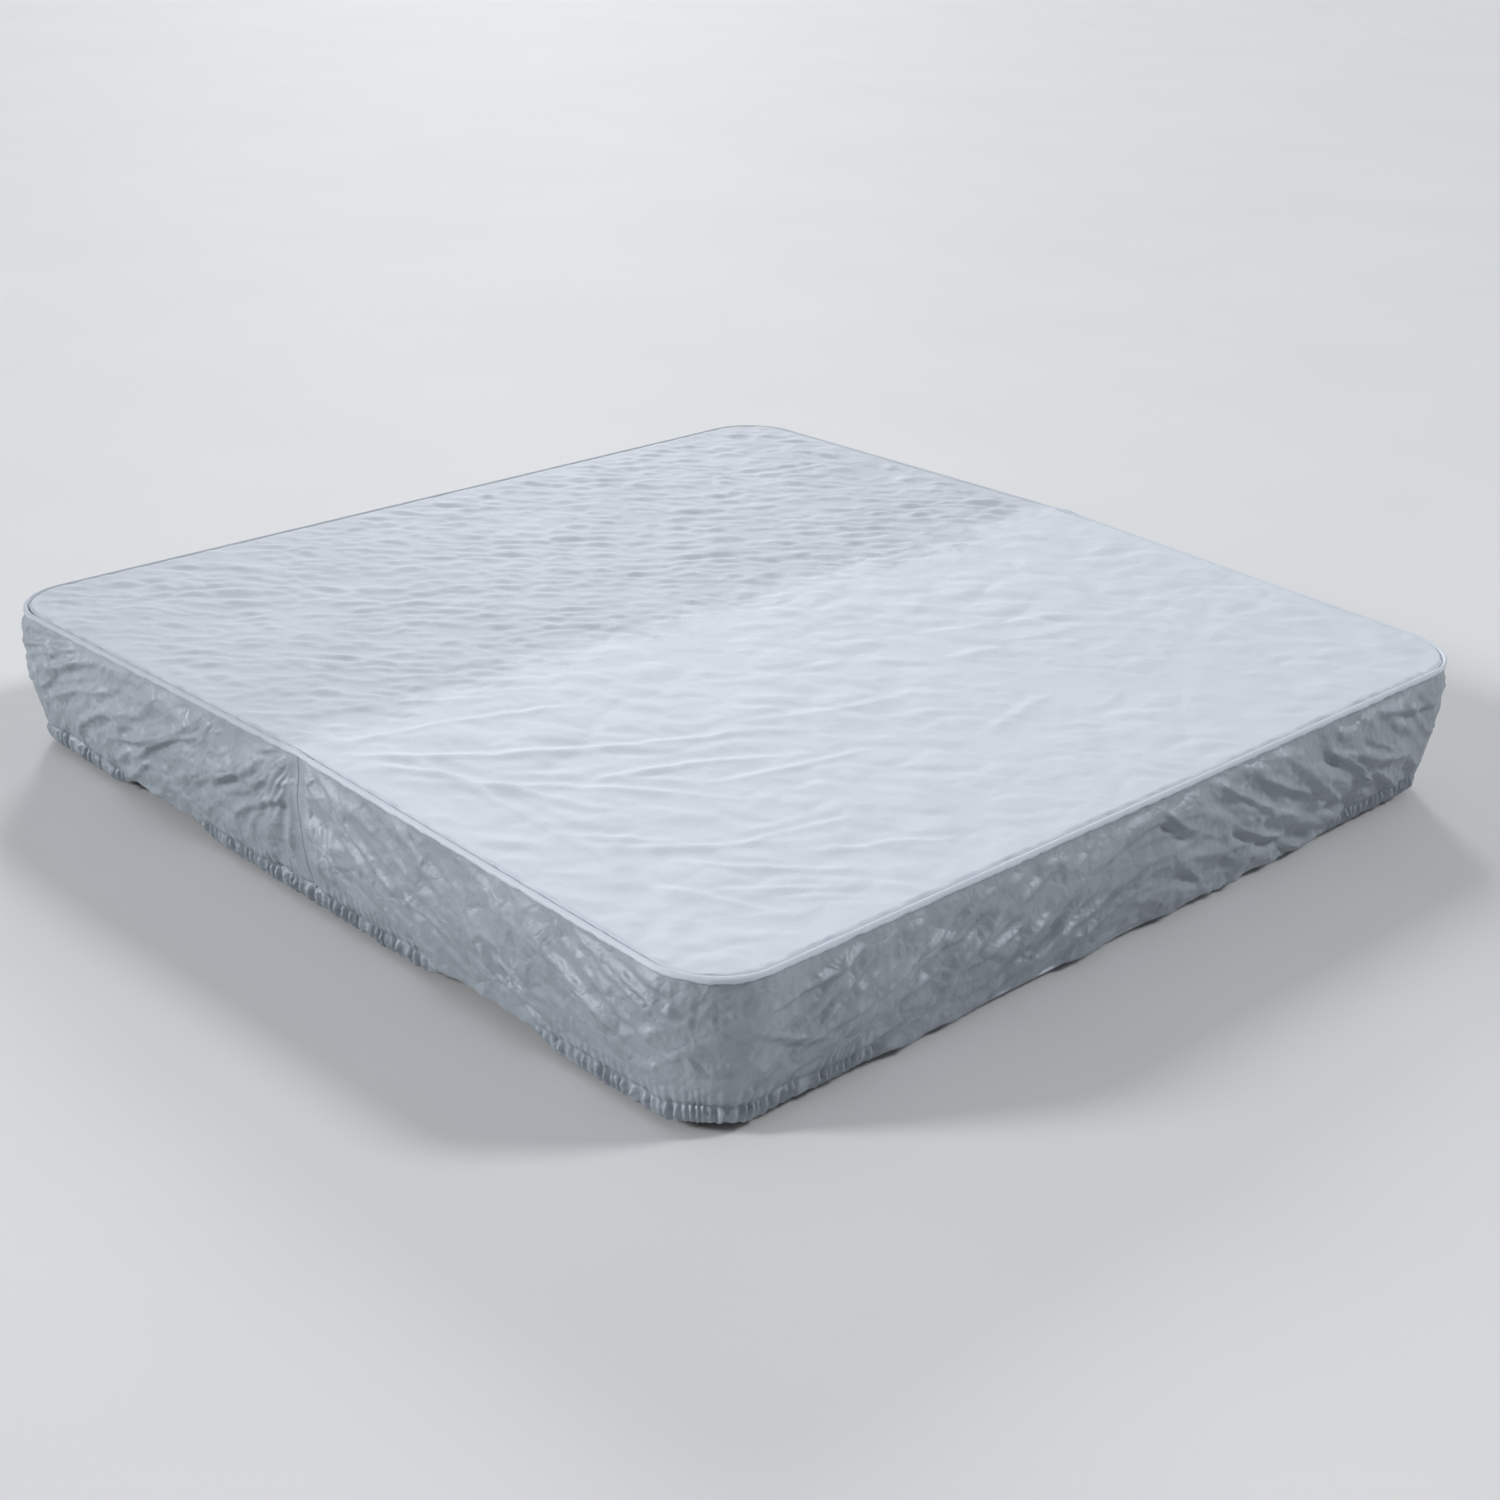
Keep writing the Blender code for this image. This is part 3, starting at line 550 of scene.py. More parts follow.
def front_creases(x, y):
    """Long soft creases of the front half: a fan from the fold's left end, others near the corner."""
    edge = -CAP_X
    fan = (
        ((edge + 0.05, -0.02), (-0.55, -0.16), 0.010, 0.02, 0.0016),
        ((edge + 0.04, -0.05), (-0.62, -0.34), 0.012, -0.02, 0.0020),
        ((edge + 0.05, -0.10), (-0.80, -0.52), 0.012, 0.02, 0.0018),
        ((-0.98, -0.25), (-0.58, -0.62), 0.011, 0.02, 0.0018),
        ((-0.86, -0.18), (-0.35, -0.44), 0.009, -0.02, 0.0013),
        ((-0.78, -0.40), (-0.36, -0.56), 0.011, 0.02, 0.0016),
        ((-0.62, -0.52), (-0.22, -0.62), 0.010, -0.015, 0.0014),
        ((-0.95, -0.50), (-0.70, -0.78), 0.010, 0.01, 0.0015),
        ((-0.88, -0.62), (-0.62, -0.78), 0.010, -0.01, 0.0015),
        ((-0.72, -0.74), (-0.46, -0.80), 0.009, 0.01, 0.0012),
        ((-0.86, -0.82), (-0.66, -0.97), 0.008, 0.008, 0.0012),
        ((-0.78, -0.90), (-0.64, -1.00), 0.007, -0.006, 0.0011),
        ((edge + 0.13, -0.08), (edge + 0.16, -0.80), 0.013, 0.015, 0.0016),
        ((-0.84, -0.70), (-0.60, -0.93), 0.009, -0.012, 0.0015),
        ((-0.93, -0.74), (-0.80, -0.98), 0.008, 0.010, 0.0013),
        ((-0.66, -0.82), (-0.36, -0.98), 0.009, 0.012, 0.0012),
        ((-0.42, -0.36), (0.02, -0.50), 0.012, -0.02, 0.0008),
        ((0.20, -0.30), (0.62, -0.46), 0.014, 0.02, 0.0009),
        ((-0.10, -0.72), (0.30, -0.66), 0.013, 0.02, 0.0007),
    )
    return sum(depth * crease(x, y, start, end, width, bow) for start, end, width, bow, depth in fan)


def seam_profile():
    """(outwards, upwards) from the edge of the top, through the stitch line, over the rolled seam."""
    return (
        (-0.0100, -0.0008), (-0.0086, -0.0030), (-0.0076, -0.0058), (-0.0064, -0.0058), (-0.0054, -0.0022),
        (-0.0028, 0.0008), (0.0000, 0.0010), (0.0024, -0.0010), (0.0036, -0.0042), (0.0032, -0.0078),
        (0.0012, -0.0104), (-0.0012, -0.0115),
    )


def axis_lines(reach, spacing, fine, fine_reach):
    """Grid lines from -reach to reach, close together near zero and evenly spread elsewhere."""
    inner = np.arange(-fine_reach, fine_reach + fine / 2, fine)
    count = math.ceil((reach - fine_reach) / spacing)
    outer = np.linspace(fine_reach, reach, count + 1)[1:]
    return np.concatenate([-outer[::-1], inner, outer])


def cap_top_sheet(finish):
    """One cloth over both halves, with the perimeter seam rolled over its edge."""
    half_x, half_y, radius = CAP_X - SEAM_INSET, CAP_Y - SEAM_INSET, CAP_RADIUS - SEAM_INSET
    xs = axis_lines(half_x, TOP_GRID, TOP_GRID, TOP_GRID)
    ys = axis_lines(half_y, TOP_GRID, RIDGE_GRID, 5 * RIDGE_GRID)
    grid_x, grid_y = np.meshgrid(xs, ys)
    flat_x, flat_y = rounded(grid_x, grid_y, half_x, half_y, radius)
    edge_gap = np.minimum(half_x - np.abs(grid_x), half_y - np.abs(grid_y))
    calm = smooth(edge_gap, 0.0, 0.05)
    z = top_height(flat_y) + top_wrinkles(flat_x, flat_y) * (0.25 + 0.75 * calm)
    z += edge_puckers(flat_x, flat_y) * (1 - smooth(edge_gap, 0.0, 0.085))
    z -= 0.0006 * np.exp(-np.abs(flat_y) / 0.012)
    points = np.stack([flat_x, flat_y, z], axis=-1)
    rows, columns = grid_x.shape

    loop = [(0, j) for j in range(columns)] + [(i, columns - 1) for i in range(1, rows)]
    loop += [(rows - 1, j) for j in range(columns - 2, -1, -1)] + [(i, 0) for i in range(rows - 2, 0, -1)]
    loop = np.array(loop)
    rim = points[loop[:, 0], loop[:, 1]]
    normal = rim_normals(rim, half_x, half_y, radius)
    around = np.concatenate([[0], np.cumsum(np.hypot(*np.diff(rim[:, :2], axis=0).T))])
    pinch = 1 + 0.16 * wobble(around, 0.028, 0.5, 61) + 0.12 * wobble(around, 0.011, 3.5, 62)
    hump = 0.0022 * bell(rim[:, 1], 0.030)
    rings = []
    for out, up in seam_profile():
        x = rim[:, 0] + normal[:, 0] * (SEAM_INSET + out * pinch)
        y = rim[:, 1] + normal[:, 1] * (SEAM_INSET + out * pinch)
        rings.append(np.stack([x, y, top_height(y) + up * pinch + hump], axis=-1))
    faces = [grid_faces(rows, columns)]
    count, total = len(loop), rows * columns
    previous = loop[:, 0] * columns + loop[:, 1]
    for index in range(len(rings)):
        current = total + index * count + np.arange(count)
        faces.append(np.stack([previous, current, np.roll(current, -1), np.roll(previous, -1)], axis=1))
        previous = current
    all_points = np.concatenate([points.reshape(-1, 3), *rings])
    obj = mesh_object("cap_top", all_points, np.concatenate(faces), finish)
    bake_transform(obj)
    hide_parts("rear_cap_top", "front_cap_top")


def edge_puckers(x, y):
    """Small puckers that run in from the perimeter seam."""
    around = np.where(np.abs(x) / CAP_X > np.abs(y) / CAP_Y, y, x)
    near_corner = smooth(np.abs(x) + np.abs(y), 1.35, 1.95)
    return (0.0006 + 0.0009 * near_corner) * ripple(around / 0.030, np.abs(x) - np.abs(y) + 0.4, 71)


def rim_normals(rim, half_x, half_y, radius):
    """Outward normals of a rounded rectangle at points on it."""
    nx = np.maximum(np.abs(rim[:, 0]) - (half_x - radius), 0) * np.sign(rim[:, 0])
    ny = np.maximum(np.abs(rim[:, 1]) - (half_y - radius), 0) * np.sign(rim[:, 1])
    length = np.hypot(nx, ny)
    return np.stack([nx / length, ny / length], axis=1)


# ---- the cap's skirts ----
def elastic_share(edge, s):
    """1 where the hem is gathered on elastic, 0 where it is plain, at lengths s from a fold end."""
    near = np.minimum(s, edge.length - s)
    fold = 1 - smooth(near, FOLD_ELASTIC - 0.01, FOLD_ELASTIC + HEM_EASE)
    corner_start = CORNER_ELASTIC_START
    corner_end = edge.side + edge.turn + (edge.side - corner_start)
    corner = smooth(near, corner_start - HEM_EASE, corner_start + 0.01)
    corner = corner * (1 - smooth(near, corner_end - 0.01, corner_end + HEM_EASE))
    return np.maximum(fold, corner)


def hem_height(edge, s, share, seed):
    """Height of the hem over the floor: low and ragged on the elastic, level where it is plain."""
    ragged = 0.0022 * wobble(s, 0.055, 0.3, seed) + 0.0010 * wobble(s, 0.018, 2.3, seed + 1)
    droop = 0.004 * wobble(s, 0.21, 5.3, seed + 2)
    plain = PLAIN_HEM_Z + 0.0012 * wobble(s, 0.13, 7.3, seed + 3)
    return np.maximum(share * (0.0030 + ragged + np.maximum(droop, -0.001)) + (1 - share) * plain, 0.0004)


def askew(nx, ny, share, side):
    """The cap sits a little askew: its hem is higher along -X and lower along the front."""
    left, end = np.clip(-nx, 0, 1), np.clip(ny, 0, 1)
    lift = left**2 * (0.020 - 0.006 * share)
    if side < 0:
        lift = lift + 0.026 * (left * end) ** 2 + end**2 * (0.016 * share - 0.007 * (1 - share))
    return lift


def skirt_creases(edge, s, z, seed):
    """Folds of a skirt, outwards. They slant down towards the elastic at the nearest corner."""
    near = np.minimum(s, edge.length - s)
    corner = edge.side + edge.turn / 2
    past = (edge.length / 2 - near) * corner / (edge.length / 2 - corner)
    rising = np.hypot(near, 0.12)
    falling = np.hypot(past, 0.12)
    tent = 0.5 * (rising + falling - np.hypot(rising - falling, 0.10))
    turn = np.tanh((corner - near) / 0.10)
    along = 0.85 * s + 0.45 * z * turn * np.tanh((s - edge.length / 2) / 0.18)
    across = z + 0.60 * tent + 0.045 * ripple(s / 0.42, z / 0.42, seed + 80)
    strength = 1.0 + 0.6 * smooth(near, corner + 0.05, corner + 0.35) + 0.25 * (1 - smooth(near, 0.55, 0.85))
    calm = 1 - 0.85 * bell(near - corner, 0.17)
    separate = calm * long_folds(edge, s, z, seed) * (1 - smooth(z, 0.255, 0.295))
    separate = TALLEST_CREASE * np.tanh((separate + corner_folds(edge, near, z)) / TALLEST_CREASE)
    belly = 0.010 * smooth(near, corner, corner + 0.30) * np.sin(np.pi * np.clip(z / 0.30, 0, 1)) ** 2
    folds = 0.0070 * crinkle(along, across, 0.34, 0.110, seed)
    folds = folds - 0.0050 * crumple(along, across, 0.26, 0.090, seed)
    small = -0.0030 * crumple(along, across, 0.090, 0.050, seed + 10)
    fine = -0.0012 * crumple(along, across, 0.030, 0.020, seed + 20)
    out = strength * (0.0020 + folds + small + separate) + belly + fine + fold_fan(near, z, seed)
    return limit_inward(out, DEEPEST_FOLD - DEEPEST_CUT * smooth(z, 0.235, 0.275))


def long_folds(edge, s, z, seed):
    """Separate long creases of a skirt, each running down towards the nearest corner."""
    chance = np.random.default_rng(seed + 90)
    corner = edge.side + edge.turn / 2
    count = 54
    total = np.zeros(np.broadcast(s, z).shape)
    for index in range(count):
        start_s = edge.length * (index + chance.uniform(0, 1)) / count
        near = min(start_s, edge.length - start_s)
        toward = (1 if near < corner else -1) * (1 if start_s < edge.length / 2 else -1)
        start_z = chance.uniform(0.13, 0.285)
        run = chance.uniform(0.10, 0.30)
        end = (start_s + toward * run, start_z - run * chance.uniform(0.35, 0.80))
        width, height = chance.uniform(0.0060, 0.0100), chance.uniform(0.0050, 0.0105)
        total += height * crease(s, z, (start_s, start_z), end, width, chance.uniform(-0.015, 0.015))
    return total


def corner_folds(edge, near, z):
    """Creases that run down from the seam on both sides of a corner and die out on the corner itself."""
    begins, ends = edge.side, edge.side + edge.turn
    places = (
        (begins - 0.20, 0.288, begins + 0.11, 0.212, 0.007, 0.0060),
        (begins - 0.12, 0.266, begins + 0.09, 0.178, 0.006, 0.0040),
        (begins - 0.30, 0.235, begins - 0.02, 0.130, 0.009, 0.0060),
        (ends + 0.22, 0.280, ends - 0.05, 0.225, 0.008, 0.0050),
        (ends + 0.42, 0.250, ends + 0.05, 0.135, 0.010, 0.0060),
    )
    total = 0
    for start, start_z, end, end_z, width, height in places:
        total = total + 1.5 * height * crease(near, z, (start, start_z), (end, end_z), width, 0.008)
    return total


def fold_fan(near, z, seed):
    """Creases that fan out below the end of the fold, where the cloth is pinched in."""
    below = np.maximum(RIDGE_Z - z, 0.01)
    angle, reach = np.arctan2(near, below), np.hypot(near, below)
    spokes = 1 - 2.6 * np.abs(ripple(angle * 4.2 + 0.3, reach / 0.16, seed + 70))
    return 0.0065 * spokes * (1 - smooth(near, 0.05, 0.34)) * smooth(near, 0.0, 0.04)


def gathers(s, seed):
    """Ruffles of cloth gathered on elastic, outwards, from about -1 to 1."""
    phase = s / GATHER_PITCH + 1.3 * wobble(s, 0.07, 0.7, seed)
    size = 0.70 + 0.75 * wobble(s, 0.030, 4.7, seed + 1)
    return np.sin(2 * np.pi * phase) * size


class Skirt:
    """The cloth of one half's skirt: where it stands at each length along the edge and each height."""

    def __init__(self, side):
        self.side, self.seed = side, 100 if side > 0 else 200
        self.edge = Edge(CAP_X, CAP_Y, CAP_RADIUS, 0.0005)

    def at(self, s):
        """Goes to lengths s along the edge."""
        edge = self.edge
        self.s, self.near = s, np.minimum(s, edge.length - s)
        self.x, self.y, self.nx, self.ny = edge.at(s)
        self.share = elastic_share(edge, s)
        self.hem = hem_height(edge, s, self.share, self.seed + 30)
        self.hem = self.hem + askew(self.nx, self.ny, self.share, self.side)
        self.corner = (2 * self.nx * self.ny) ** 2
        self.ruffle = gathers(s, self.seed + 40)
        self.top = top_height(self.y) - SKIRT_TOP_DROP
        self.band_top = self.hem + BAND * self.share + 0.004 * (1 - self.share)

    def wall(self, z):
        """How far out the taut cloth stands at height z: upright by the casing, curving in below."""
        fall = np.clip((BASE_Z + 0.035 - z) / (BASE_Z + 0.035), 0, 1)
        belly = 0.0070 * np.sin(np.pi * np.clip((z - 0.07) / 0.22, 0, 1))
        return belly - 0.0018 - (HEM_TUCK - 0.0018) * fall**1.45 - 0.010 * self.corner * fall**5

    def above_band(self, z):
        """How far out the cloth stands at height z, from the seam down to the band's stitch line."""
        at_fold = 1 - smooth(self.near, 0.0, 0.045)
        calm = smooth(self.top - z, 0.0, 0.030) * (1 - at_fold)
        near_band = (1 - smooth(z - self.band_top, 0.0, 0.075)) * self.share
        out = self.wall(z) + skirt_creases(self.edge, self.s, z, self.seed) * calm * (1 - 0.35 * near_band)
        out += seam_puckers(self.edge, self.s, self.seed) * (1 - smooth(self.top - z, 0.0, 0.05))
        out += 0.0028 * self.ruffle * near_band**2 * (1 - at_fold)
        out -= at_fold * (0.0035 + 0.0020 * wobble(z, 0.06, 0.5 + np.sign(self.x), 91))
        return out - 0.0060 * bell(z - self.band_top, 0.0055) * self.share

    def in_band(self, z, t):
        """How far out it stands in the band; t runs from 0 at the stitch line to 1 at the hem."""
        swell = math.sin(math.pi * min(t * 0.86 + 0.08, 1.0)) ** 0.6
        knots = 0.0028 * facets(self.s / 0.011, z / 0.014, self.seed + 60)
        gathered = 0.0045 * swell + (0.0072 * self.ruffle + knots) * swell
        gathered = gathered - 0.0050 * (1 - t) ** 2 - 0.0020 * t
        creased = skirt_creases(self.edge, self.s, z, self.seed) * (1 - t) * (1 - self.share)
        return self.wall(z) + self.share * gathered + creased

    def points(self, out, z):
        return on_side(beyond(self.x, self.y, self.nx, self.ny, out, z), self.side)


def skirt_sheet(half, side, finish):
    """One half's skirt: under the rolled seam, down the sides, gathered at the hem and turned in."""
    skirt = Skirt(side)
    skirt.at(skirt.edge.stations(0.0032, 0.0044, lambda at: elastic_share(skirt.edge, at) > 0.02))
    wall_steps, band_steps = 60, 10
    rows = []
    for step in range(wall_steps + 1):
        z = skirt.top + (skirt.band_top - skirt.top) * step / wall_steps
        rows.append(skirt.points(skirt.above_band(z), z))
    for step in range(1, band_steps + 1):
        t = step / band_steps
        z = skirt.band_top + (skirt.hem - skirt.band_top) * t
        hem_out = skirt.in_band(z, t)
        rows.append(skirt.points(hem_out, z))
    lip = PLAIN_LIP + (HEM_LIP - PLAIN_LIP) * skirt.share
    for t in (0.12, 0.45, 1.0):
        out = hem_out - lip * t + 0.0010 * skirt.ruffle * skirt.share * (1 - t)
        rows.append(skirt.points(out, np.maximum(skirt.hem - 0.0006, 0.0002) + 0.0015 * t))
    grid = with_returns(np.stack(rows), side)
    obj = sheet_object(f"{half}_cap_skirt_cloth", grid, finish, flip=side > 0)
    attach(obj, f"{half}_half")
    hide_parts(*[f"{half}_{n}" for n in (
        "cap_skirt", "cap_side_left", "cap_side_right", "cap_corner_left", "cap_corner_right")])


def elastic_band(half, side, place, hand, finish):
    """Elastic inside the hem, following its gathers."""
    skirt = Skirt(side)
    low, high = {"fold": (0.004, FOLD_ELASTIC - 0.004), "corner": corner_elastic_span(skirt.edge)}[place]
    s = np.arange(low, high, 0.0033)
    skirt.at(skirt.edge.length - s if hand == "left" else s)
    rows = []
    for t in np.linspace(0.16, 0.86, 12):
        z = skirt.band_top + (skirt.hem - skirt.band_top) * t
        rib = 0.00025 * math.cos(2 * math.pi * t * 8)
        rows.append(skirt.points(skirt.in_band(z, t) - 0.0034 + rib, z))
    inside_out = (side > 0) == (hand == "right")
    obj = sheet_object(f"{half}_{place}_elastic_{hand}_ribbed", np.stack(rows), finish, flip=inside_out)
    give_thickness(obj, ELASTIC)
    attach(obj, f"{half}_half")
    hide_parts(f"{half}_{place}_elastic_{hand}")


def corner_elastic_span(edge):
    """Lengths from a fold end between which the corner's elastic lies."""
    start = CORNER_ELASTIC_START
    return start + 0.004, edge.side + edge.turn + (edge.side - start) - 0.004


def with_returns(grid, side):
    """Adds the short ends that turn into the gap at the fold, where the cloth is pinched in."""
    ends = []
    for index, sign in ((0, 1), (-1, -1)):
        column = grid[:, index]
        added = []
        for t in (0.15, 0.5, 1.0):
            turned = column.copy()
            turned[:, 0] -= sign * FOLD_RETURN * t
            turned[:, 1] += side * 0.0015 * t
            added.append(turned)
        ends.append(np.stack(added, axis=1))
    return np.concatenate([ends[0][:, ::-1], grid, ends[1]], axis=1)


def seam_puckers(edge, s, seed):
    """Small upright puckers just under the seam, strongest round the corners."""
    near = np.minimum(s, edge.length - s)
    corner = bell(near - edge.side - edge.turn / 2, 0.16)
    return (0.0008 + 0.0020 * corner) * wobble(s, 0.017, 0.9, seed + 50)


# ---- the insulated lid ----
def lid_height(y):
    """Height of the casing's top, which falls from the fold to the outer edge."""
    fall = LID_RIDGE_Z - LID_LOW.z - 0.0012
    return LID_RIDGE_Z - fall * (np.abs(y) - LID_INNER_Y) / (LID_Y - LID_INNER_Y)


def lid_outline(fine, coarse):
    """One half's casing edge, with lengths along it that are closer together round the corners."""
    edge = Edge(LID_X, LID_Y, LID_RADIUS, LID_INNER_Y)
    s = edge.stations(fine, coarse, lambda at: edge.side < at < edge.side + edge.turn)
    return edge, s, *edge.at(s)


def half_panel(inset, inner_y, spacing):
    """Grid of one half's outline in plan, square at the fold and rounded at the outer corners."""
    half_x, half_y = LID_X - inset, LID_Y - inset
    xs = np.linspace(-half_x, half_x, math.ceil(2 * half_x / spacing))
    ys = np.linspace(inner_y, half_y, math.ceil((half_y - inner_y) / spacing))
    grid_x, grid_y = np.meshgrid(xs, ys)
    x, y = rounded(grid_x, grid_y, half_x, half_y, LID_RADIUS - inset, open_side=True)
    gap = np.minimum(np.minimum(half_x - np.abs(grid_x), half_y - grid_y), grid_y - inner_y)
    return x, y, gap


def lid_base(half, side, finish):
    """Lined underside: taut over the foam, a little puckered towards its edge."""
    x, y, gap = half_panel(0.0005, LID_INNER_Y + 0.0005, 0.012)
    quilt = 0.0010 * ripple(x / 0.16, y / 0.16, 301) + 0.0006 * ripple(x / 0.045, y / 0.045, 302)
    pucker = 0.0009 * ripple(x / 0.02, y / 0.02, 303) * np.exp(-gap / 0.03)
    z = BASE_Z + 0.0012 - 0.0008 * smooth(gap, 0, 0.03) + (quilt + pucker) * smooth(gap, 0.0, 0.03) * 0.5
    grid = np.stack([x, y, z], axis=-1)
    obj = sheet_object(f"{half}_base_lining", on_side(grid, side), finish, flip=side > 0)
    give_thickness(obj, LINING, 1.0)
    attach(obj, f"{half}_half")
    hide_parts(f"{half}_casing_base")


def lid_top(half, side, finish):
    """Vinyl top of the casing, slightly crowned over the foam."""
    x, y, gap = half_panel(0.0, LID_INNER_Y, 0.024)
    z = lid_height(y) - 0.0008 + 0.0006 * smooth(gap, 0.0, 0.05)
    grid = np.stack([x, y, z], axis=-1)
    obj = sheet_object(f"{half}_casing_top_panel", on_side(grid, side), finish, flip=side < 0)
    give_thickness(obj, VINYL)
    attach(obj, f"{half}_half")
    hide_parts(f"{half}_casing_top")


def lid_boxing(half, side, finish):
    """Vinyl band round the outer edges, with a welt along its upper and lower seams."""
    _, s, x, y, nx, ny = lid_outline(0.012, 0.03)
    low, high = BASE_Z + 0.0012, lid_height(y) - 0.0016
    welt = 0.0022
    profile = [(0.0, 0.0), (0.30, 1.0), (0.0, 2.0)]
    rows = [(welt * out * 2, low + welt * up) for out, up in profile]
    for t in np.linspace(0.06, 0.94, 7):
        rows.append((0.0010 * math.sin(math.pi * t) + 0.0002, low + (high - low) * t))
    rows += [(welt * out * 2, high - welt * up) for out, up in reversed(profile)]
    wave = 0.0003 * wobble(s, 0.08, 0.2, 311)
    grid = np.stack([beyond(x, y, nx, ny, out + wave, z) for out, z in rows])
    obj = sheet_object(f"{half}_boxing_band", on_side(grid, side), finish, flip=side < 0)
    give_thickness(obj, VINYL)
    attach(obj, f"{half}_half")
    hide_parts(f"{half}_casing_boxing")


def zip_panel(half, side, finish):
    """Vinyl panel at the fold that carries the zip, with a shallow tuck along each edge of the tape."""
    low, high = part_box(f"{half}_zip_panel")
    tape_low, tape_high = (corner.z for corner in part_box(f"{half}_zipper"))
    xs = np.linspace(low.x, high.x, 160)
    zs = np.linspace(low.z, high.z, 30)
    x, z = np.meshgrid(xs, zs)
    tuck = sum(bell(z - at, 0.003) for at in (tape_low - 0.004, tape_high + 0.004))
    y = LID_INNER_Y + 0.0005 * tuck + 0.0002 * ripple(x / 0.05, z / 0.03, 321) + 0.0002
    grid = np.stack([x, y, z], axis=-1)
    obj = sheet_object(f"{half}_zip_panel_vinyl", on_side(grid, side), finish, flip=side > 0)
    give_thickness(obj, 0.8 * VINYL)
    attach(obj, f"{half}_half")
    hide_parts(f"{half}_zip_panel")


def lid_flap(half, side, finish):
    """Vinyl flap below the casing: soft waves and a folded hem."""
    edge, s, x, y, nx, ny = lid_outline(0.010, 0.016)
    tuck = 0.0300
    hem_fold = 0.020
    rows = []
    for t in np.linspace(0.0, 1.0, 18):
        z = BASE_Z - 0.0006 + (FLAP_LOW - BASE_Z + 0.0006) * t
        wave = 0.0018 * ripple(s / 0.16, z / 0.4, 331) + 0.0008 * ripple(s / 0.05, z / 0.12, 332)
        wave = wave * smooth(t, 0, 0.5)
        hem = 0.0006 * smooth(z, FLAP_LOW + hem_fold + 0.002, FLAP_LOW + hem_fold - 0.001)
        rows.append((-tuck * t - 0.0006 + wave - 0.0006 + hem, z))
    grid = np.stack([beyond(x, y, nx, ny, out, z) for out, z in rows])
    obj = sheet_object(f"{half}_flap_vinyl", on_side(grid, side), finish, flip=side < 0)
    give_thickness(obj, VINYL, 0.0)
    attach(obj, f"{half}_half")
    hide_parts(f"{half}_skirt_flap")


def fold_web(finish):
    """Vinyl web that joins the two casings over the fold."""
    low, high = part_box("rear_fold_web")
    xs = np.linspace(low.x, high.x, 90)
    ys = axis_lines(high.y, 0.006, 0.0022, 0.0110)
    x, y = np.meshgrid(xs, ys)
    z = low.z + 0.0014 + 0.0006 * (1 - np.abs(y) / high.y) + 0.0001 * ripple(x / 0.06, y / 0.02, 341)
    obj = sheet_object("fold_web_vinyl", np.stack([x, y, z], axis=-1), finish)
    give_thickness(obj, VINYL)
    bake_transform(obj)
    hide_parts("rear_fold_web", "front_fold_web")


def fold_seal(finish):
    """Rounded foam seal in its vinyl sleeve, sewn along the rear half's fold."""
    low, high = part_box("fold_seal_sleeve")
    middle_y, middle_z = (low.y + high.y) / 2, (low.z + high.z) / 2
    half_y, half_z = (high.y - low.y) / 2 - 0.0004, (high.z - low.z) / 2 - 0.0004
    xs = np.linspace(low.x, high.x, 150)
    around = 24
    turn = np.linspace(0, 2 * np.pi, around, endpoint=False)
    squareness = 0.45
    round_y = np.sign(np.cos(turn)) * np.abs(np.cos(turn)) ** squareness
    round_z = np.sign(np.sin(turn)) * np.abs(np.sin(turn)) ** squareness
    x, index = np.meshgrid(xs, np.arange(around), indexing="ij")
    puff = 1 - 0.06 * np.abs(ripple(x / 0.05, index / 5.0, 351))
    end = np.sqrt(np.clip(1 - (np.abs(x) / high.x) ** 60, 0, 1))
    y = middle_y + half_y * round_y[index] * puff * (0.55 + 0.45 * end)
    z = middle_z + half_z * round_z[index] * puff * (0.55 + 0.45 * end)
    points = np.stack([x, y, z], axis=-1)
    faces = grid_faces(len(xs), around, closed=True).tolist()
    faces += [list(range(around)), [(len(xs) - 1) * around + i for i in range(around - 1, -1, -1)]]
    mesh = bpy.data.meshes.new("fold_seal")
    mesh.from_pydata(points.reshape(-1, 3).tolist(), [], faces)
    mesh.materials.append(finish)
    mesh.shade_smooth()
    obj = link(bpy.data.objects.new("fold_seal", mesh))
    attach(obj, "rear_half")
    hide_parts("fold_seal_sleeve")


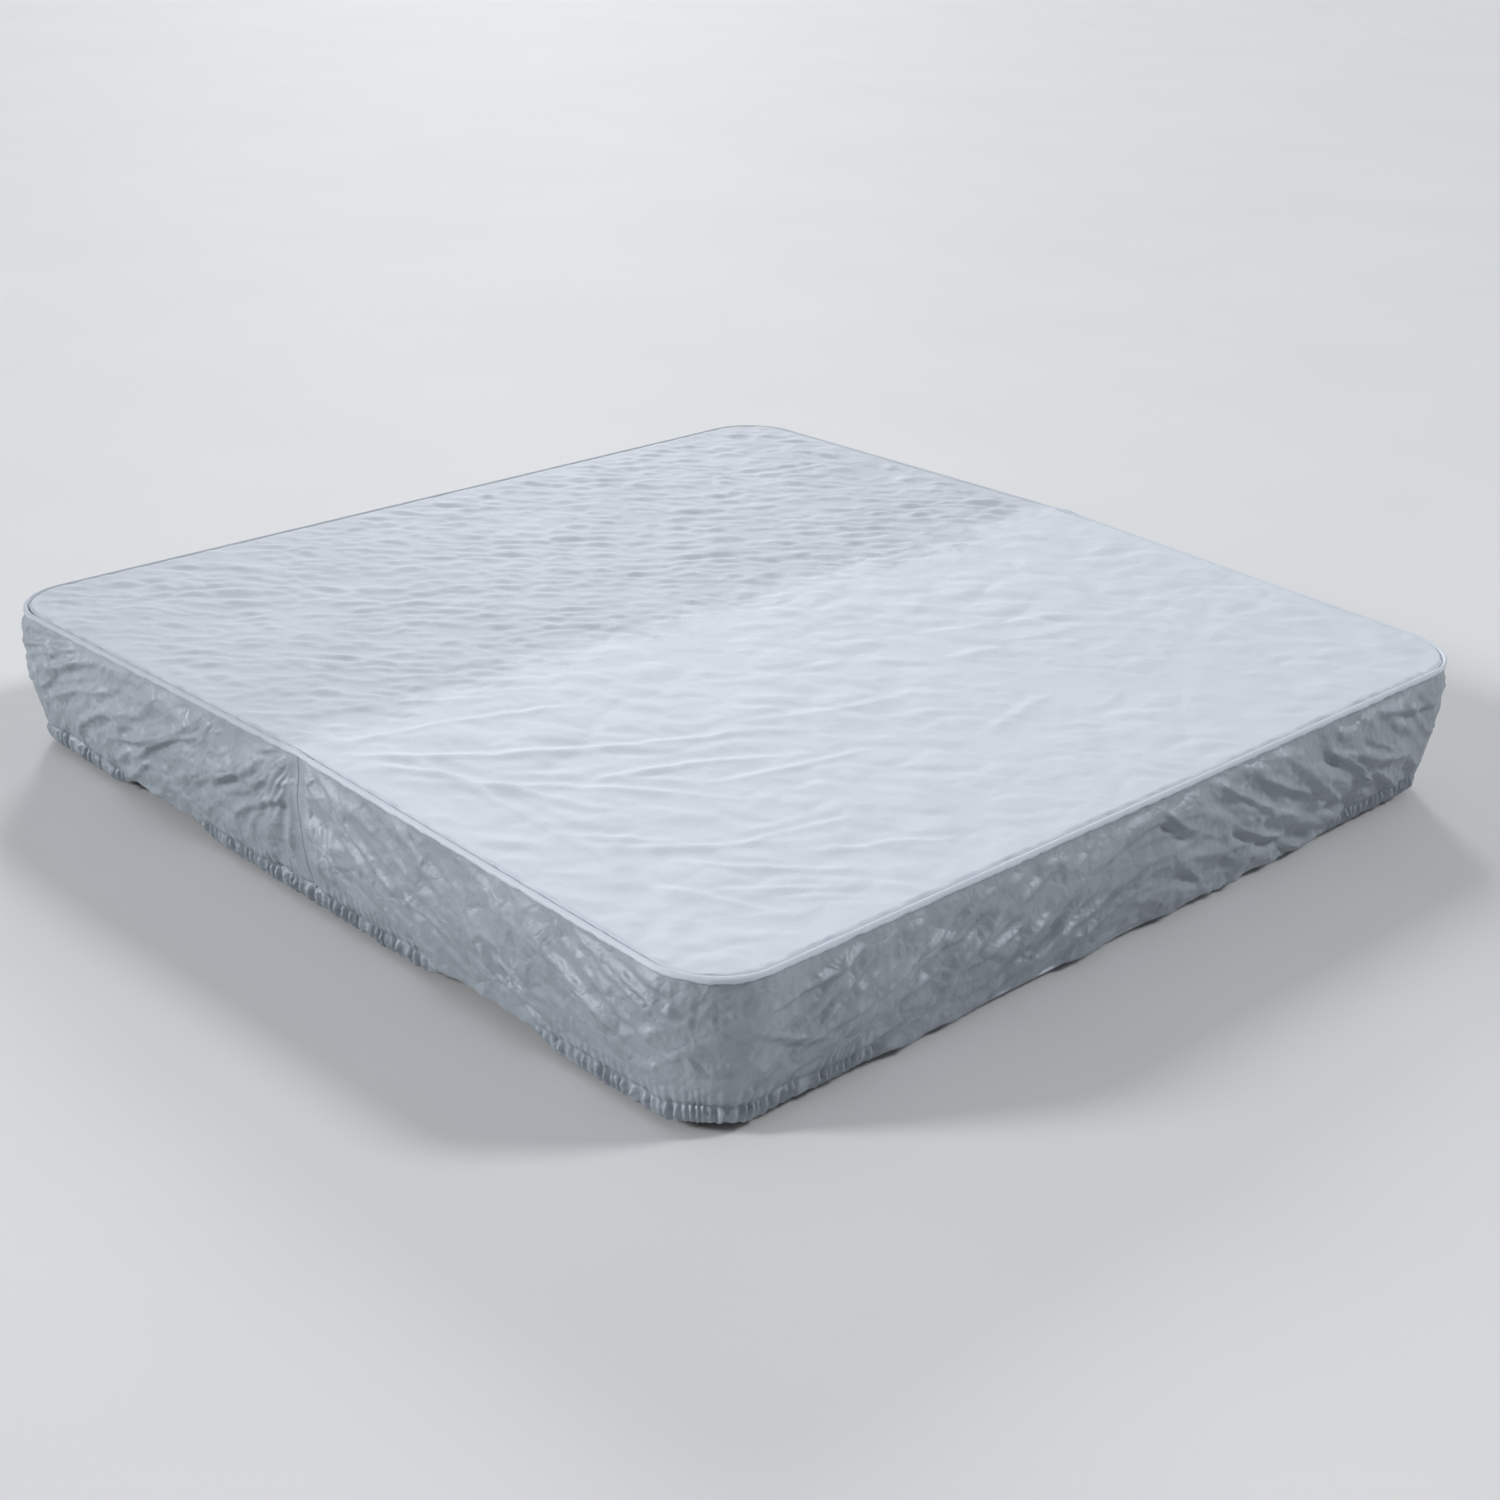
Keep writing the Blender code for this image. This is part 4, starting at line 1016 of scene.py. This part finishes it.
def zip_chain(half, side, finish, tape_finish):
    """Tape with its moulded teeth, in step along the whole length."""
    low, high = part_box(f"{half}_zipper")
    middle = (low.z + high.z) / 2
    back, face = (high.y, low.y) if side > 0 else (low.y, high.y)
    tape_face = back - side * 0.0009
    xs = np.linspace(low.x, high.x, 260)
    zs = np.linspace(low.z, high.z, 9)
    x, z = np.meshgrid(xs, zs)
    y = tape_face + side * 0.00012 * ripple(x / 0.01, z / 0.01, 361)
    tape = sheet_object(f"{half}_zip_tape", np.stack([x, y, z], axis=-1), tape_finish, flip=side < 0)
    give_thickness(tape, TAPE)
    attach(tape, f"{half}_half")
    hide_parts(f"{half}_zipper")

    pitch, tooth, tall = 0.0050, 0.0030, 0.0058
    count = int((high.x - low.x - 2 * pitch) / pitch)
    builder = bmesh.new()
    for index in range(count):
        at = low.x + pitch * (index + 1.5)
        shift = 0.0004 if index % 2 else -0.0004
        matrix = Matrix.Translation((at, (face + tape_face) / 2, middle + shift))
        matrix @= Matrix.Diagonal((tooth, abs(face - tape_face), tall, 1))
        bmesh.ops.create_cube(builder, size=1.0, matrix=matrix)
    mesh = bpy.data.meshes.new(f"{half}_zip_teeth")
    builder.to_mesh(mesh)
    builder.free()
    mesh.materials.append(finish)
    teeth = link(bpy.data.objects.new(mesh.name, mesh))
    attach(teeth, f"{half}_half")


def stitched_handle(half, hand, sign, finish, thread):
    """Flat webbing handle with a crossed box of stitches on each foot."""
    low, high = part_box(f"{half}_{hand}_handle")
    near = min(abs(low.x), abs(high.x))
    ys = np.linspace(low.y, high.y, 60)
    zs = np.linspace(low.z, high.z, 9)
    y, z = np.meshgrid(ys, zs)
    middle, reach = (low.y + high.y) / 2, (high.y - low.y) / 2
    arch = 0.0020 * (1 - smooth(np.abs(y - middle), reach * 0.45, reach * 0.62))
    x = sign * (near + arch)
    obj = sheet_object(f"{half}_{hand}_handle_webbing", np.stack([x, y, z], axis=-1), finish, flip=sign > 0)
    give_thickness(obj, WEBBING, 1.0)
    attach(obj, f"{half}_half")
    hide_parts(f"{half}_{hand}_handle")
    outer = sign * (near + 0.00165)
    for foot, centre in (("a", low.y + 0.020), ("b", high.y - 0.020)):
        stitch_box(f"{half}_{hand}_handle_stitches_{foot}", (outer, centre, (low.z + high.z) / 2),
                   Vector((0, 1, 0)), Vector((0, 0, 1)), 0.014, thread, f"{half}_half")


def stitch_box(name, centre, across, up, reach, thread, body):
    """A square of thread stitches with a cross in it."""
    corners = [across * a * reach + up * b * reach for a, b in ((-1, -1), (1, -1), (1, 1), (-1, 1))]
    runs = [(corners[i], corners[(i + 1) % 4]) for i in range(4)]
    runs += [(corners[0], corners[2]), (corners[1], corners[3])]
    curve = bpy.data.curves.new(name, "CURVE")
    curve.dimensions = "3D"
    curve.bevel_depth = 0.00035
    curve.bevel_resolution = 1
    curve.use_fill_caps = True
    for start, end in runs:
        length = (end - start).length
        count = max(2, round(length / 0.0045))
        for index in range(count):
            spline = curve.splines.new("POLY")
            spline.points.add(1)
            for point, share in zip(spline.points, (0.12, 0.82)):
                place = Vector(centre) + start + (end - start) * (index + share) / count
                point.co = (*place, 1)
    curve.materials.append(thread)
    obj = link(bpy.data.objects.new(name, curve))
    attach(obj, body)


# ---- putting it together ----
def build_cap():
    top = cap_top_cloth()
    # painted shade: the skirt is the same cloth as the top, given a darker base colour for its upright, less
    # lit sides
    skirt = silver_cloth("silver_cloth_skirt_shaded", (0.375, 0.415, 0.46), (0.31, 0.345, 0.385), 0.0022)
    cap_top_sheet(top)
    for half, side in HALVES:
        skirt_sheet(half, side, skirt)


def build_lid(finishes):
    vinyl, lining = marine_vinyl(), base_lining()
    upright, level = webbing("webbing_upright", (0, 0, 1)), webbing("webbing_level", (0, 1, 0))
    thread = Finish("thread", 0.6)
    thread.tint(thread.noise(400.0), 0.3, (0.10, 0.10, 0.11), 0.8, (0.16, 0.16, 0.17))
    for half, side in HALVES:
        lid_base(half, side, lining)
        lid_top(half, side, vinyl)
        lid_boxing(half, side, vinyl)
        zip_panel(half, side, vinyl)
        lid_flap(half, side, vinyl)
        zip_chain(half, side, finishes["plastic"], finishes["tape"])
        for node, key in (("foam_core", "foam"), ("vapour_wrap", "film"), ("steel_channel", "steel"),
                          ("zipper_slider", "zinc")):
            finish_node(f"{half}_{node}", finishes[key])
        soften(f"{half}_zipper_slider", 0.0005)
        for hand, sign in (("left", -1), ("right", 1)):
            stitched_handle(half, hand, sign, level, thread.material)
            finish_node(f"{half}_{hand}_strap", upright)
            finish_node(f"{half}_{hand}_buckle", finishes["plastic"])
            soften(f"{half}_{hand}_buckle", 0.0008)
            for place in ("corner", "fold"):
                elastic_band(half, side, place, hand, finishes["elastic"])
    finish_node("fold_seal_core", finishes["foam"])
    fold_web(vinyl)
    fold_seal(vinyl)


def studio():
    """Pale floor, a graded sky and soft lights."""
    floor = Finish("floor", 0.75)
    floor.tint(floor.noise(1.2, detail=2.0), 0.3, (0.71, 0.715, 0.72), 0.7, (0.73, 0.735, 0.74))
    mesh = bpy.data.meshes.new("floor")
    reach = 45.0
    corners = [(-reach, -reach, 0), (reach, -reach, 0), (reach, reach, 0), (-reach, reach, 0)]
    mesh.from_pydata(corners, [], [(0, 1, 2, 3)])
    mesh.materials.append(floor.material)
    ground = link(bpy.data.objects.new("floor", mesh))

    world = bpy.data.worlds.new("studio")
    world.use_nodes = True
    background = world.node_tree.nodes["Background"]
    nodes, links = world.node_tree.nodes, world.node_tree.links
    split = nodes.new("ShaderNodeSeparateXYZ")
    sky = nodes.new("ShaderNodeValToRGB")
    links.new(nodes.new("ShaderNodeTexCoord").outputs["Generated"], split.inputs["Vector"])
    links.new(split.outputs["Z"], sky.inputs["Fac"])
    links.new(sky.outputs["Color"], background.inputs["Color"])
    sky.color_ramp.elements[0].position = 0.0
    sky.color_ramp.elements[0].color = (0.46, 0.48, 0.50, 1)
    sky.color_ramp.elements[1].position = 0.75
    sky.color_ramp.elements[1].color = (0.93, 0.96, 1.0, 1)
    background.inputs["Strength"].default_value = 0.30
    bpy.context.scene.world = world
    bpy.context.scene.view_settings.view_transform = "Standard"

    overhead = bpy.data.lights.new("overhead", "AREA")
    overhead.size, overhead.energy, overhead.color = 4.5, 10.0, (0.97, 0.985, 1.0)
    link(bpy.data.objects.new("overhead", overhead)).location = (-0.4, -0.4, 5.0)
    for name, toward, height, strength in (
        ("from_the_back", (0.62, 0.78), 18.0, 1.15),
        ("from_the_left", (-0.85, 0.52), 24.0, 2.1),
        ("from_the_right", (0.78, -0.62), 38.0, 1.35),
    ):
        light = bpy.data.lights.new(name, "SUN")
        light.angle = math.radians(12)
        light.energy = strength
        light.color = (0.98, 0.99, 1.0)
        lamp = link(bpy.data.objects.new(name, light))
        lift = math.radians(height)
        source = Vector((toward[0] * math.cos(lift), toward[1] * math.cos(lift), math.sin(lift)))
        lamp.rotation_euler = (-source).to_track_quat("-Z", "Y").to_euler()


def camera():
    """Looks at the near corner from a little above, rolled by a couple of degrees."""
    azimuth, elevation = math.radians(CAMERA_AZIMUTH), math.radians(CAMERA_ELEVATION)
    roll = math.radians(CAMERA_ROLL)
    level = math.cos(elevation)
    back = Vector((math.sin(azimuth) * level, -math.cos(azimuth) * level, math.sin(elevation)))
    right = (-back).cross(Vector((0, 0, 1))).normalized()
    up = right.cross(-back)
    place = back * CAMERA_DISTANCE + right * CAMERA_ASIDE + up * CAMERA_RISE + Vector((0, 0, SEAM_Z))
    turned_right = right * math.cos(roll) + up * math.sin(roll)
    turned_up = up * math.cos(roll) - right * math.sin(roll)
    data = bpy.data.cameras.new("camera")
    data.lens = CAMERA_LENS
    data.clip_end = 100
    obj = link(bpy.data.objects.new("camera", data))
    axes = Matrix((turned_right, turned_up, back)).transposed().to_4x4()
    obj.matrix_world = Matrix.Translation(place) @ axes
    bpy.context.scene.camera = obj


studio()
camera()
build_cap()
build_lid(simple_finishes())
